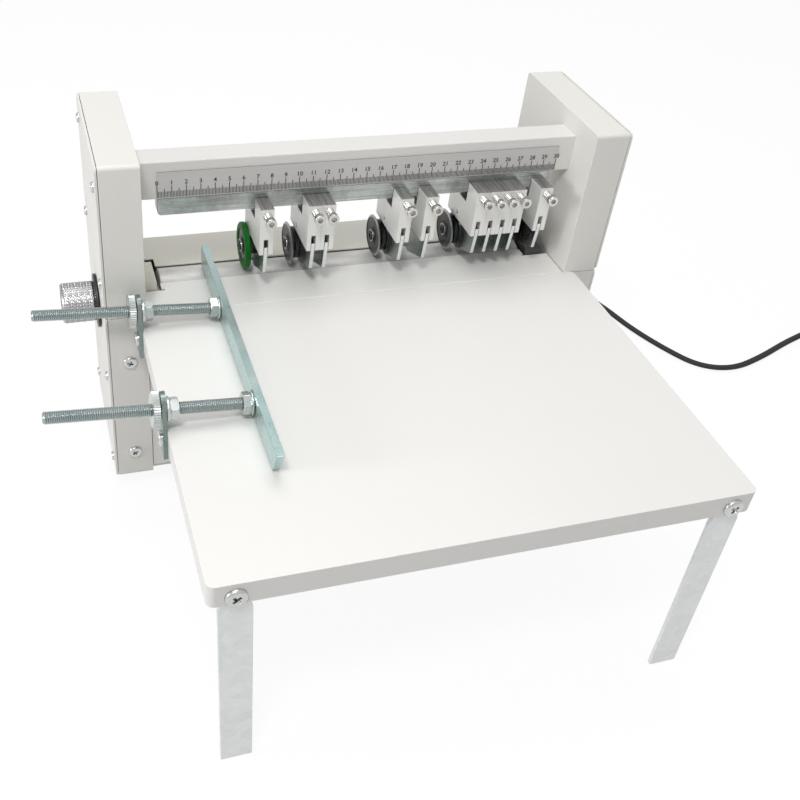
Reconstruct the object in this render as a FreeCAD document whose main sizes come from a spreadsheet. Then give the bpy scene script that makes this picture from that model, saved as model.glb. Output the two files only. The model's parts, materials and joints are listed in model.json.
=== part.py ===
import FreeCAD, Part
import Sketcher
import math
import os

# A free-standing desktop creasing machine: two sheet-metal housings joined by
# a cross beam with six sliding tool holders, a motor-driven roller under them,
# an infeed table on two folding legs, and a side guide on two threaded rods.
# The sketches are drawn in the machine's own frame: X runs right from the
# outer face of the left housing, Y runs back from the housings' front faces
# and Z up from the floor.

os.makedirs("parts", exist_ok=True)
V = FreeCAD.Vector
doc = FreeCAD.newDocument("creasing_machine")
sheet = doc.addObject("Spreadsheet::Sheet", "sizes")

SIZES = [
    # housings
    ("overall_width", "381", "across both housings"),
    ("housing_width", "27", "one housing along X"),
    ("housing_depth", "118", "front to rear face"),
    ("housing_bottom", "17", "floor to housing, the height of the feet"),
    ("seam_height", "168.5", "top edge of the lower shells"),
    ("seam_gap", "0.4", "seam between lower and upper shells and at the covers"),
    ("housing_top", "285.5", "floor to top face"),
    ("shell_wall", "1.5", "sheet of the housing shells"),
    ("shell_corner", "3", "bend radius of the shells"),
    ("cover_wall", "1.5", "side cover plates"),
    ("cover_corner", "4", "corner radius of the side covers"),
    ("cover_screw_inset", "14", "cover screws from the front and rear faces"),
    ("cover_screw_edge", "20.5", "upper cover's top screws below its top edge"),
    ("upper_screw_span", "75", "upper cover's screws along Z"),
    ("lower_screw_low", "10", "lower cover's low screws above its bottom edge"),
    ("lower_screw_span", "81", "lower cover's screws along Z"),
    ("front_screw_high", "129.5", "upper screw on a housing's front"),
    ("front_screw_low", "41.6", "lower screw on a housing's front"),
    ("screw_head", "3.7", "radius of a cover screw's head"),
    ("front_screw_head", "5.2", "radius of the front and bracket screws' heads"),
    ("screw_rise", "2", "height of a pan head"),
    ("screw_shank", "1.9", "radius of a panel screw's shank"),
    ("screw_length", "7", "panel screw's shank"),
    ("foot_radius", "11", "rubber foot"),
    ("foot_inset", "34", "foot centres from the front and rear faces"),
    # cross beam, ruler and rail
    ("beam_front", "28.7", "front face of the cross beam"),
    ("beam_depth", "20.4", "cross beam along Y"),
    ("beam_bottom", "244.3", "underside of the cross beam"),
    ("beam_height", "27.9", "cross beam along Z"),
    ("beam_wall", "2", "wall of the beam tube"),
    ("ruler_left", "41", "left end of the ruler and rail"),
    ("ruler_length", "300.5", "ruler plate"),
    ("ruler_low", "1.1", "ruler above the beam's lower edge"),
    ("ruler_height", "20.2", "ruler plate"),
    ("ruler_wall", "0.8", "ruler plate"),
    ("rail_length", "297.5", "clamp rail"),
    ("rail_setback", "0.3", "rail behind the beam's front face"),
    ("rail_depth", "11", "rail along Y"),
    ("rail_height", "12.9", "rail along Z"),
    ("rail_corner", "3", "rounded lower corners of the rail's ends"),
    # bed, roller and drive
    ("bed_height", "169.4", "top of the bed plate"),
    ("bed_wall", "1.2", "bed and outfeed sheet"),
    ("bed_front", "0.8", "front panel behind the housings' faces"),
    ("bed_side_gap", "0.5", "bed plate to each housing"),
    ("panel_bottom", "24", "lower edge of the front and rear panels"),
    ("base_wall", "2", "base plate"),
    ("roller_axis_y", "50.2", "roller axis from the front faces"),
    ("roller_axis_z", "151.7", "roller axis above the floor"),
    ("roller_radius", "19.5", "driven roller"),
    ("roller_left", "43", "left end of the roller"),
    ("roller_length", "290.2", "driven roller"),
    ("slot_gap", "11.6", "bed edges from the roller's axis"),
    ("slope_start", "8", "flat part of the outfeed plate along Y"),
    ("slope_drop", "8.9", "fall of the outfeed plate to its rear edge"),
    ("notch_inner", "42.3", "inner edge of the notches round the end blocks"),
    ("notch_front", "29.2", "front edge of those notches"),
    ("notch_rear", "73", "rear edge of those notches"),
    ("foot_slit", "2.4", "slit beside the notch along X"),
    ("slit_width", "1.5", "slit beside the notch along Y"),
    ("block_front", "30", "end blocks' front face"),
    ("block_rear", "64", "end blocks' rear face"),
    ("left_block_gap", "1.3", "left end block to its housing"),
    ("left_block_width", "11", "left end block along X"),
    ("right_block_gap", "6.2", "right end block to its housing"),
    ("right_block_width", "13.2", "right end block along X"),
    ("block_top", "174.5", "top of the end blocks"),
    ("end_block_bottom", "132", "underside of the end blocks"),
    ("block_corner", "5", "rounded upper corners of the end blocks"),
    ("shaft_radius", "6", "roller shaft"),
    ("bearing_radius", "11", "bearing rings"),
    ("bearing_width", "5.5", "bearing rings"),
    ("running_gap", "0.05", "radial play of a shaft in its bore"),
    ("free_gap", "0.5", "play round a shaft that only passes through"),
    ("gear_module", "1.5", "module of both gears"),
    ("gear_teeth", "38", "teeth of the roller gear"),
    ("pinion_teeth", "20", "teeth of the motor pinion"),
    ("gear_inset", "6", "gears from the right housing's inner face"),
    ("gear_width", "8", "face width of both gears"),
    ("tooth_rise", "1.3", "tooth above the pitch circle"),
    ("tooth_root", "1.8", "tooth below the pitch circle"),
    ("tooth_tip", "1.0", "width of a tooth at its tip"),
    ("tooth_foot", "2.5", "width of a tooth at its root"),
    ("motor_radius", "20", "drive motor"),
    ("motor_length", "70", "drive motor"),
    ("flange_size", "46", "square motor flange"),
    ("flange_wall", "2", "motor flange"),
    ("motor_shaft", "3", "radius of the motor shaft"),
    ("knob_radius", "14.9", "knurled hand knob"),
    ("knob_length", "24.3", "knurled hand knob"),
    ("knob_flange", "20", "radius of the knob's dark flange"),
    ("knob_flange_wall", "2", "knob's dark flange"),
    ("knob_gap", "0.5", "knob flange to the side cover"),
    # infeed table and legs
    ("table_left", "21.6", "left edge of the infeed table"),
    ("table_width", "340.6", "infeed table along X"),
    ("table_depth", "249", "infeed table along Y"),
    ("table_height", "169.8", "top of the infeed table"),
    ("table_lip", "16.2", "depth of the folded lips"),
    ("table_wall", "1.5", "table sheet"),
    ("table_corner", "5", "rounded corners of the table"),
    ("leg_height", "9.8", "leg pivots below the top of the table"),
    ("left_leg_x", "37.5", "left leg pivot"),
    ("right_leg_x", "15.7", "right leg pivot from the table's right edge"),
    ("leg_width", "20", "leg bar"),
    ("leg_wall", "3", "leg bar"),
    ("leg_gap", "0.3", "leg bar to the table's front lip"),
    ("leg_top", "7.3", "radius of the leg round its pivot"),
    ("leg_shoulder", "14", "pivot down to the leg's full width"),
    ("left_leg_tilt", "1.3", "left leg's lean, foot to the right"),
    ("right_leg_tilt", "0.9", "right leg's lean, foot to the right"),
    ("pivot_head", "6.5", "radius of the leg screws' heads"),
    ("pivot_rise", "3", "height of the leg screws' heads"),
    ("pivot_radius", "3", "leg screws' shanks"),
    ("pivot_nut", "5.5", "radius of the nuts behind the legs"),
    # side guide
    ("bar_left", "75.7", "guide bar's left face"),
    ("bar_wall", "5", "guide bar along X"),
    ("bar_bottom", "171.6", "underside of the guide bar"),
    ("bar_top", "190", "top of the guide bar"),
    ("bar_rear", "53", "rear end of the guide bar"),
    ("bar_front", "180", "front end of the guide bar before the housings"),
    ("bar_cut", "8.5", "slope of the bar's front end"),
    ("rod_radius", "4", "threaded guide rods"),
    ("rod_chamfer", "0.8", "chamfered left ends of the rods"),
    ("rod_rear_y", "14.3", "rear rod before the housings' faces"),
    ("rod_front_y", "118.7", "front rod before the housings' faces"),
    ("rod_height", "180", "rods where they meet the bar"),
    ("rod_length", "126.5", "rods left of the bar"),
    ("rod_into_bar", "3.5", "rods inside the bar"),
    ("rod_tilt", "3.9", "rods' rise to the left"),
    ("nut_flats", "13", "hex nuts across flats"),
    ("nut_height", "5.2", "hex nuts"),
    ("washer_wall", "1.2", "washers"),
    ("washer_radius", "8", "washers"),
    ("bracket_width", "12", "guide brackets along Y"),
    ("bracket_wall", "3", "guide brackets along X"),
    ("bracket_bottom", "147.5", "lower end of the guide brackets"),
    ("bracket_top", "196", "upper end of the guide brackets"),
    ("bracket_screw_z", "160.5", "bracket screws"),
    ("thumb_radius", "11.5", "thumb nuts"),
    ("thumb_width", "4.4", "knurled disc of a thumb nut"),
    ("thumb_collar", "6.5", "collar of a thumb nut"),
    ("thumb_gap", "0.3", "thumb nut collar to its bracket"),
    # tool holders
    ("holder_1", "109.7", "left face of holder set 1"),
    ("holder_2", "144.6", "left face of holder set 2"),
    ("holder_3", "213.3", "left face of holder set 3"),
    ("holder_4", "232.8", "left face of holder set 4"),
    ("holder_5", "273.1", "left face of holder set 5"),
    ("holder_6", "324.8", "left face of holder set 6"),
    ("holder_pitch", "10", "holder to holder within a set"),
    ("holder_width", "9.9", "one holder along X"),
    ("holder_front", "11.5", "front face of the holders"),
    ("holder_rear", "58", "rear face of the holders"),
    ("holder_bottom", "203.1", "underside of the holders"),
    ("holder_top", "239.6", "top of the holders"),
    ("holder_floor", "223.5", "bottom of the rail channel"),
    ("rail_play", "0.4", "rail to the holder's channel, each side"),
    ("arm_slot_left", "3", "arm slot from the holder's left face"),
    ("arm_slot_width", "3.4", "arm slot along X"),
    ("arm_slot_top", "215.4", "top of the arm slot"),
    ("side_hole_y", "40.6", "hole in the holder's side"),
    ("side_hole_z", "208", "hole in the holder's side"),
    ("side_hole_radius", "1.5", "hole in the holder's side"),
    ("pin_y", "14.6", "arm pin"),
    ("pin_z", "206", "arm pin"),
    ("pin_radius", "1.25", "arm pin"),
    ("clamp_x", "5", "clamp screw from the holder's left face"),
    ("clamp_z", "234.5", "clamp screws"),
    ("clamp_radius", "2.6", "clamp screw's shank"),
    ("clamp_head", "3.6", "clamp screw's head"),
    ("clamp_head_length", "4.5", "clamp screw's head"),
    ("clamp_stand", "7.5", "gap from the head to the holder"),
    ("clamp_tip_gap", "0.3", "screw tip to the rail"),
    ("clamp_socket", "1.5", "hex socket's half width across flats"),
    ("clamp_socket_depth", "2", "hex socket"),
    # arms and wheels
    ("arm_left", "3.4", "arm plate from the holder's left face"),
    ("arm_wall", "2.6", "arm plate"),
    ("axle_radius", "3.95", "wheel axles"),
    ("axle_y", "50.2", "wheel axles from the front faces"),
    ("axle_head", "5", "heads that keep the wheels on"),
    ("axle_head_width", "0.8", "heads that keep the wheels on"),
    ("side_gap", "0.3", "wheel to its neighbours along X"),
    ("wheel_gap", "0.3", "wheels above the roller"),
    ("crease_radius", "16", "steel creasing wheels"),
    ("crease_wall", "2", "rim of a creasing wheel"),
    ("crease_web", "1.2", "web of a creasing wheel"),
    ("hub_radius", "7", "hub of a wheel"),
    ("disc_radius", "12", "dark disc behind a creasing wheel"),
    ("disc_wall", "2.7", "dark disc behind a creasing wheel"),
    ("wheel_left", "4.3", "wheels' left faces before the holders"),
    ("wheel_right", "3.1", "wheels' right faces inside the holders"),
    ("tyre_radius", "17.3", "green tyre"),
    ("tyre_thickness", "5", "green tyre, radially"),
    ("tyre_width", "4", "green tyre"),
    ("feed_radius", "16", "rubber feed wheel"),
    ("feed_left", "9.5", "feed wheel's left face before its holder"),
    ("feed_width", "9", "rubber feed wheel"),
    # switch, strain relief and lead
    ("switch_x", "13.5", "power switch from the right housing's outer face"),
    ("switch_z", "92", "power switch"),
    ("bezel_width", "17", "switch bezel along X"),
    ("bezel_height", "23", "switch bezel along Z"),
    ("bezel_wall", "1.8", "switch bezel"),
    ("rocker_width", "10", "rocker"),
    ("rocker_height", "16", "rocker"),
    ("rocker_gap", "0.4", "rocker to its bezel"),
    ("rocker_low", "0.9", "rocker's pressed end above the bezel"),
    ("rocker_crease", "1.6", "rocker's crease above the bezel"),
    ("rocker_high", "4.6", "rocker's raised end above the bezel"),
    ("relief_x", "13.5", "strain relief from the right housing's outer face"),
    ("relief_z", "45", "strain relief"),
    ("relief_flange", "8", "strain relief's flange radius"),
    ("relief_neck", "5.5", "strain relief in the housing's wall"),
    ("relief_length", "24", "strain relief outside the housing"),
    ("cord_radius", "2.9", "mains lead"),
    ("coil_radius", "45.5", "outer turn of the put-away coil"),
    ("coil_pitch", "7.2", "turn to turn, radially"),
    ("coil_rise", "6.3", "layer to layer"),
    ("coil_half_turns", "5", "half turns of one layer"),
    ("coil_tail", "28", "straight end of the coil at the plug"),
    ("plug_length", "34", "plug body"),
    ("plug_width", "25", "plug body"),
    ("plug_height", "18", "plug body"),
    ("plug_neck", "12", "plug's tapered neck"),
    ("blade_length", "17", "plug blades"),
    ("blade_width", "6.3", "plug blades"),
    ("blade_wall", "1.5", "plug blades"),
    ("blade_pitch", "12.7", "blade to blade"),
]
for row, (alias, figure, note) in enumerate(SIZES, 1):
    sheet.set("A%d" % row, alias)
    sheet.set("B%d" % row, figure)
    sheet.set("C%d" % row, note)
    sheet.setAlias("B%d" % row, alias)
doc.recompute()


class Size:
    """A length or angle that keeps the sheet expression it comes from."""

    def __init__(self, text, value):
        self.text = text
        self.value = value

    def __add__(self, other):
        return Size("(%s + %s)" % (self.text, words(other)), self.value + number(other))

    def __radd__(self, other):
        return Size("(%s + %s)" % (words(other), self.text), number(other) + self.value)

    def __sub__(self, other):
        return Size("(%s - %s)" % (self.text, words(other)), self.value - number(other))

    def __rsub__(self, other):
        return Size("(%s - %s)" % (words(other), self.text), number(other) - self.value)

    def __mul__(self, other):
        return Size("%s * %s" % (self.text, words(other)), self.value * number(other))

    def __rmul__(self, other):
        return Size("%s * %s" % (words(other), self.text), number(other) * self.value)

    def __truediv__(self, other):
        return Size("(%s) / (%s)" % (self.text, words(other)), self.value / number(other))

    def __rtruediv__(self, other):
        return Size("(%s) / (%s)" % (words(other), self.text), number(other) / self.value)

    def __neg__(self):
        return Size("(0 - %s)" % self.text, -self.value)


class Sheet:
    """The driving sizes by their aliases."""

    def __getattr__(self, alias):
        return Size("sizes." + alias, float(sheet.get(alias)))


S = Sheet()


def words(value):
    if isinstance(value, Size):
        return value.text
    return "(%.9g)" % value if value < 0 else "%.9g" % value


def number(value):
    return value.value if isinstance(value, Size) else float(value)


def sine(angle):
    return Size("sin(%s * 1 deg)" % angle.text, math.sin(math.radians(angle.value)))


def cosine(angle):
    return Size("cos(%s * 1 deg)" % angle.text, math.cos(math.radians(angle.value)))


def drive(item, name, value):
    """Bind a property to the sheet."""
    if isinstance(value, Size):
        item.setExpression(name, value.text)
    else:
        item.setExpression(name, words(value))


# places that several pieces share
inner_left = S.housing_width
inner_right = S.overall_width - S.housing_width
cover_reach = S.seam_gap + S.cover_wall
side_reach = cover_reach + S.screw_rise
rod_tip = S.bar_left - S.rod_length * cosine(S.rod_tilt)
left_reach = rod_tip - (S.rod_radius - S.rod_chamfer) * sine(S.rod_tilt)
right_reach = S.overall_width + side_reach
front_reach = S.table_depth + S.pivot_rise
rear_reach = S.housing_depth + S.bezel_wall + S.rocker_high
origin_x = (left_reach + right_reach) / 2
origin_y = (rear_reach - front_reach) / 2
pinion_z = S.roller_axis_z - S.gear_module * (S.gear_teeth + S.pinion_teeth) / 2
table_right = S.table_left + S.table_width
leg_pivot = S.table_height - S.leg_height
right_leg_at = table_right - S.right_leg_x
switch_at = S.overall_width - S.switch_x
relief_at = S.overall_width - S.relief_x
axle_low = S.roller_axis_z + S.roller_radius + S.wheel_gap

nodes = []
features = []


def body(label, x=0.0, y=0.0, z=0.0, axis=None, angle=None):
    """A sub-part placed so that the model's origin is under its middle."""
    item = doc.addObject("PartDesign::Body", label)
    item.Label = label
    if axis is not None:
        item.Placement = FreeCAD.Placement(V(0, 0, 0), FreeCAD.Rotation(axis, 1))
        drive(item, "Placement.Rotation.Angle", angle)
    drive(item, "Placement.Base.x", x - origin_x)
    drive(item, "Placement.Base.y", y - origin_y)
    drive(item, "Placement.Base.z", z)
    nodes.append(item)
    return item


def origin(item, role):
    return next(f for f in item.Origin.OriginFeatures if f.Role == role)


def sketch(item, role, offset, across=0.0, up=0.0):
    """A sketch on a plane parallel to one of the body's origin planes."""
    drawing = item.newObject("Sketcher::SketchObject", "sketch")
    drawing.AttachmentSupport = [(origin(item, role), "")]
    drawing.MapMode = "FlatFace"
    drive(drawing, "AttachmentOffset.Base.x", across)
    drive(drawing, "AttachmentOffset.Base.y", up)
    drive(drawing, "AttachmentOffset.Base.z", -1 * offset if role == "XZ_Plane" else offset)
    return drawing


def fix(drawing, line, spot, x, y):
    for kind, value in (("DistanceX", x), ("DistanceY", y)):
        rule = Sketcher.Constraint(kind, -1, 1, line, spot, number(value))
        index = drawing.addConstraint(rule)
        if isinstance(value, Size):
            drawing.setExpression("Constraints[%d]" % index, value.text)


def outline(drawing, points):
    """A closed loop of straight lines through the points."""
    first = drawing.GeometryCount
    count = len(points)
    for i in range(count):
        a = points[i]
        b = points[(i + 1) % count]
        line = Part.LineSegment(V(number(a[0]), number(a[1]), 0),
                                V(number(b[0]), number(b[1]), 0))
        drawing.addGeometry(line, False)
    for i in range(count):
        after = first + (i + 1) % count
        drawing.addConstraint(Sketcher.Constraint("Coincident", first + i, 2, after, 1))
    for i in range(count):
        fix(drawing, first + i, 1, points[i][0], points[i][1])


def ring(drawing, x, y, radius):
    index = drawing.addGeometry(Part.Circle(V(number(x), number(y), 0), V(0, 0, 1),
                                            number(radius)), False)
    fix(drawing, index, 3, x, y)
    rule = drawing.addConstraint(Sketcher.Constraint("Radius", index, number(radius)))
    drawing.setExpression("Constraints[%d]" % rule, words(radius))


def rectangle(x0, x1, y0, y1):
    return [(x0, y0), (x1, y0), (x1, y1), (x0, y1)]


def extrude(kind, item, role, start, length, loops, rings):
    drawing = sketch(item, role, start)
    for points in loops:
        outline(drawing, points)
    for x, y, radius in rings:
        ring(drawing, x, y, radius)
    feature = item.newObject("PartDesign::" + kind, kind.lower())
    feature.Profile = drawing
    drive(feature, "Length", length)
    feature.Reversed = (role == "XZ_Plane") == (kind == "Pad")
    features.append(feature)
    return feature


def pad(item, role, start, length, loops=(), rings=()):
    """Grow the profile from the plane at start towards plus."""
    return extrude("Pad", item, role, start, length, loops, rings)


def pocket(item, role, start, length, loops=(), rings=()):
    """Cut the profile from the plane at start towards plus."""
    return extrude("Pocket", item, role, start, length, loops, rings)


def turn_x(item, y, z, points, kind="Revolution"):
    """Turn a profile of (x, radius) points about an axis along X."""
    drawing = sketch(item, "XY_Plane", z, 0.0, y)
    outline(drawing, points)
    feature = item.newObject("PartDesign::" + kind, "turned")
    feature.Profile = drawing
    feature.ReferenceAxis = (drawing, ["H_Axis"])
    feature.Angle = 360
    features.append(feature)
    return feature


def turn_y(item, x, z, points, kind="Revolution"):
    """Turn a profile of (radius, y) points about an axis along Y."""
    drawing = sketch(item, "XY_Plane", z, x, 0.0)
    outline(drawing, points)
    feature = item.newObject("PartDesign::" + kind, "turned")
    feature.Profile = drawing
    feature.ReferenceAxis = (drawing, ["V_Axis"])
    feature.Angle = 360
    features.append(feature)
    return feature


def round_edges(item, radius, wanted, kind="Fillet"):
    """Round the edges of the body's tip that the test picks."""
    doc.recompute()
    base = item.Tip
    names = []
    for i, edge in enumerate(base.Shape.Edges, 1):
        box = edge.BoundBox
        if wanted(edge, box):
            names.append("Edge%d" % i)
    feature = item.newObject("PartDesign::" + kind, kind.lower())
    feature.Base = (base, names)
    drive(feature, "Radius" if kind == "Fillet" else "Size", radius)
    features.append(feature)
    return feature


def close(a, b, reach=0.01):
    return abs(number(a) - number(b)) < reach


def flat_in(box, way, value, reach=0.01):
    """An edge that lies in the plane at the value along the given way."""
    low, high = {"x": (box.XMin, box.XMax), "y": (box.YMin, box.YMax),
                 "z": (box.ZMin, box.ZMax)}[way]
    return close(low, value, reach) and close(high, value, reach)


def housing(label, left, upper, inner_on_right):
    """A five-sided shell, open at the seam and on its outer side."""
    item = body(label)
    low = S.seam_height + S.seam_gap if upper else S.housing_bottom
    high = S.housing_top if upper else S.seam_height
    pad(item, "YZ_Plane", left, S.housing_width, [rectangle(0, S.housing_depth, low, high)])
    wall = S.shell_wall
    outer = high if upper else low
    inside_low = low if upper else low + wall
    inside_high = high - wall if upper else high

    def bends(edge, box):
        along_x = box.XLength > number(S.housing_width) - 0.01
        return along_x and (flat_in(box, "z", outer))

    round_edges(item, S.shell_corner, bends)
    start = left if inner_on_right else left + wall
    pocket(item, "YZ_Plane", start, S.housing_width - wall,
           [rectangle(wall, S.housing_depth - wall, inside_low, inside_high)])
    return item


left_upper = housing("left_upper_housing", 0.0, True, True)
left_lower = housing("left_lower_housing", 0.0, False, True)
right_upper = housing("right_upper_housing", inner_right, True, False)
right_lower = housing("right_lower_housing", inner_right, False, False)

# bores in the inner walls for the bearings and the motor, and at the rear
# for the switch and the strain relief
bearing_bore = S.bearing_radius + S.running_gap
pocket(left_lower, "YZ_Plane", inner_left - S.shell_wall, S.shell_wall, [],
       [(S.roller_axis_y, S.roller_axis_z, bearing_bore)])
pocket(right_lower, "YZ_Plane", inner_right, S.shell_wall, [],
       [(S.roller_axis_y, S.roller_axis_z, bearing_bore),
        (S.roller_axis_y, pinion_z, S.motor_shaft + S.free_gap)])
half_width = S.bezel_width / 2 - S.bezel_wall
half_height = S.bezel_height / 2 - S.bezel_wall
rear_wall = S.housing_depth - S.shell_wall
pocket(right_lower, "XZ_Plane", rear_wall, S.shell_wall,
       [rectangle(switch_at - half_width, switch_at + half_width,
                  S.switch_z - half_height, S.switch_z + half_height)],
       [(relief_at, S.relief_z, S.relief_neck)])


def side_covers(label, face, screws_out):
    """Two cover plates with screw holes on a housing's outer side."""
    item = body(label)
    edges = ((S.seam_height + S.seam_gap, S.housing_top),
             (S.housing_bottom, S.seam_height))
    pad(item, "YZ_Plane", face, S.cover_wall,
        [rectangle(0, S.housing_depth, low, high) for low, high in edges])

    def corners(edge, box):
        return box.XLength > number(S.cover_wall) - 0.01

    round_edges(item, S.cover_corner, corners)
    pocket(item, "YZ_Plane", face, S.cover_wall, [],
           [(y, z, S.screw_shank + S.running_gap) for y, z in cover_screws])
    return item


upper_high = S.housing_top - S.cover_screw_edge
lower_low = S.housing_bottom + S.lower_screw_low
screw_near = S.cover_screw_inset
screw_far = S.housing_depth - S.cover_screw_inset
cover_screws = [
    (screw_near, upper_high),
    (screw_near, upper_high - S.upper_screw_span),
    (screw_far, upper_high + 7),
    (screw_far, upper_high + 7 - S.upper_screw_span),
    (screw_near, lower_low),
    (screw_near, lower_low + S.lower_screw_span),
    (screw_far, lower_low + 15),
    (screw_far, lower_low + S.lower_screw_span),
]
left_covers = side_covers("left_side_covers", -cover_reach, -1)
pocket(left_covers, "YZ_Plane", -cover_reach, S.cover_wall, [],
       [(S.roller_axis_y, S.roller_axis_z, S.shaft_radius + S.free_gap)])
right_covers = side_covers("right_side_covers", S.overall_width + S.seam_gap, 1)


def many_sided(x, y, radius, sides):
    """The corners of a regular outline round a centre."""
    return [(x + radius * math.cos(math.radians((i + 0.5) * 360 / sides)),
             y + radius * math.sin(math.radians((i + 0.5) * 360 / sides)))
            for i in range(sides)]


# pan-head screws, kept plain with many-sided heads and shanks
def pan_along_x(item, face, y, z, way, head, rise, shank, length):
    """A screw whose head sits on the face and points the given way along X."""
    head_start = face if way > 0 else face - rise
    shank_start = face - length if way > 0 else face
    pad(item, "YZ_Plane", head_start, rise, [many_sided(y, z, head, 12)])
    pad(item, "YZ_Plane", shank_start, length, [many_sided(y, z, shank, 6)])


def pan_along_y(item, face, x, z, head, rise, shank, length):
    """A screw whose head sits on the face and points to the front."""
    pad(item, "XZ_Plane", face - rise, rise, [many_sided(x, z, head, 12)])
    pad(item, "XZ_Plane", face, length, [many_sided(x, z, shank, 6)])


screws = body("panel_screws")
for y, z in cover_screws:
    pan_along_x(screws, -cover_reach, y, z, -1, S.screw_head, S.screw_rise,
                S.screw_shank, S.screw_length)
    pan_along_x(screws, S.overall_width + cover_reach, y, z, 1, S.screw_head,
                S.screw_rise, S.screw_shank, S.screw_length)
for x in (S.housing_width / 2, S.overall_width - S.housing_width / 2):
    for z in (S.front_screw_high, S.front_screw_low):
        pan_along_y(screws, 0 * x, x, z, S.front_screw_head, S.screw_rise,
                    S.screw_shank, S.screw_length)
lip_face = -S.table_depth
for x in (S.left_leg_x, right_leg_at):
    pan_along_y(screws, lip_face, x, leg_pivot, S.pivot_head, S.pivot_rise,
                S.pivot_radius, S.table_wall + S.leg_gap * 2 + S.leg_wall)
    pad(screws, "XZ_Plane", lip_face + S.table_wall + S.leg_gap * 2 + S.leg_wall,
        S.table_wall * 2, [many_sided(x, leg_pivot, S.pivot_nut, 6)])
bracket_face = S.table_left - S.bracket_wall
for y in (S.rod_rear_y, S.rod_front_y):
    pan_along_x(screws, bracket_face, -y, S.bracket_screw_z, -1, S.front_screw_head,
                S.screw_rise, S.screw_shank, S.screw_length)
for shell in (left_lower, right_lower):
    middle = S.housing_width / 2
    x = middle if shell is left_lower else S.overall_width - middle
    pocket(shell, "XZ_Plane", 0.0, S.shell_wall, [],
           [(x, S.front_screw_high, S.screw_shank + S.running_gap),
            (x, S.front_screw_low, S.screw_shank + S.running_gap)])

# rubber feet under both housings
feet = body("rubber_feet")
for x in (S.housing_width / 2, S.overall_width - S.housing_width / 2):
    for y in (S.foot_inset, S.housing_depth - S.foot_inset):
        pad(feet, "XY_Plane", 0.0, S.housing_bottom, [], [(x, y, S.foot_radius)])

# cross beam, ruler plate and clamp rail
beam_length = inner_right - inner_left
beam = body("cross_beam")
beam_top = S.beam_bottom + S.beam_height
beam_rear = S.beam_front + S.beam_depth
pad(beam, "YZ_Plane", inner_left, beam_length,
    [rectangle(S.beam_front, beam_rear, S.beam_bottom, beam_top),
     rectangle(S.beam_front + S.beam_wall, beam_rear - S.beam_wall,
               S.beam_bottom + S.beam_wall, beam_top - S.beam_wall)])


def beam_bends(edge, box):
    corner = ((close(box.YMin, S.beam_front) or close(box.YMax, beam_rear)) and
              (close(box.ZMin, S.beam_bottom) or close(box.ZMax, beam_top)))
    return box.XLength > 10 and corner


round_edges(beam, S.beam_wall / 2, beam_bends)
ruler = body("ruler_plate")
ruler_bottom = S.beam_bottom + S.ruler_low
pad(ruler, "XZ_Plane", S.beam_front - S.ruler_wall, S.ruler_wall,
    [rectangle(S.ruler_left, S.ruler_left + S.ruler_length, ruler_bottom,
               ruler_bottom + S.ruler_height)])
rail = body("clamp_rail")
rail_front = S.beam_front + S.rail_setback
rail_bottom = S.beam_bottom - S.rail_height
pad(rail, "XZ_Plane", rail_front, S.rail_depth,
    [rectangle(S.ruler_left, S.ruler_left + S.rail_length, rail_bottom, S.beam_bottom)])
round_edges(rail, S.rail_corner,
            lambda edge, box: box.YLength > 5 and flat_in(box, "z", rail_bottom))

# bed plate, outfeed plate and base plate
bed_left = inner_left + S.bed_side_gap
bed_right = inner_right - S.bed_side_gap
bed_low = S.bed_height - S.bed_wall
slot_front = S.roller_axis_y - S.slot_gap
slot_rear = S.roller_axis_y + S.slot_gap
notch_right = S.overall_width - S.notch_inner - 5.7
bed = body("bed_plate")
pad(bed, "YZ_Plane", bed_left, bed_right - bed_left,
    [[(S.bed_front, S.panel_bottom), (S.bed_front + S.bed_wall, S.panel_bottom),
      (S.bed_front + S.bed_wall, bed_low), (slot_front, bed_low),
      (slot_front, S.bed_height), (S.bed_front, S.bed_height)]])
slit_end = S.notch_front + S.slit_width
pocket(bed, "XY_Plane", bed_low - 1, S.bed_wall + 2,
       [[(bed_left - 1, S.notch_front), (S.notch_inner + S.foot_slit, S.notch_front),
         (S.notch_inner + S.foot_slit, slit_end), (S.notch_inner, slit_end),
         (S.notch_inner, slot_front + 1), (bed_left - 1, slot_front + 1)],
        [(notch_right - S.foot_slit, S.notch_front), (bed_right + 1, S.notch_front),
         (bed_right + 1, slot_front + 1), (notch_right, slot_front + 1),
         (notch_right, slit_end), (notch_right - S.foot_slit, slit_end)]])
round_edges(bed, S.bed_wall,
            lambda edge, box: box.XLength > 50 and flat_in(box, "z", S.bed_height)
            and flat_in(box, "y", S.bed_front))
outfeed = body("outfeed_plate")
slope_y = slot_rear + S.slope_start
rear_edge = S.bed_height - S.slope_drop
pad(outfeed, "YZ_Plane", bed_left, bed_right - bed_left,
    [[(slot_rear, bed_low), (slope_y, bed_low),
      (S.housing_depth - S.bed_wall, rear_edge - S.bed_wall),
      (S.housing_depth - S.bed_wall, S.panel_bottom),
      (S.housing_depth, S.panel_bottom), (S.housing_depth, rear_edge),
      (slope_y, S.bed_height), (slot_rear, S.bed_height)]])
pocket(outfeed, "XY_Plane", bed_low - 3, S.bed_wall + 5,
       [rectangle(bed_left - 1, S.notch_inner, slot_rear - 1, S.notch_rear),
        rectangle(notch_right, bed_right + 1, slot_rear - 1, S.notch_rear)])
base = body("base_plate")
pad(base, "XY_Plane", S.panel_bottom - S.base_wall, S.base_wall,
    [rectangle(inner_left, inner_right, S.bed_front, S.housing_depth)])

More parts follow.
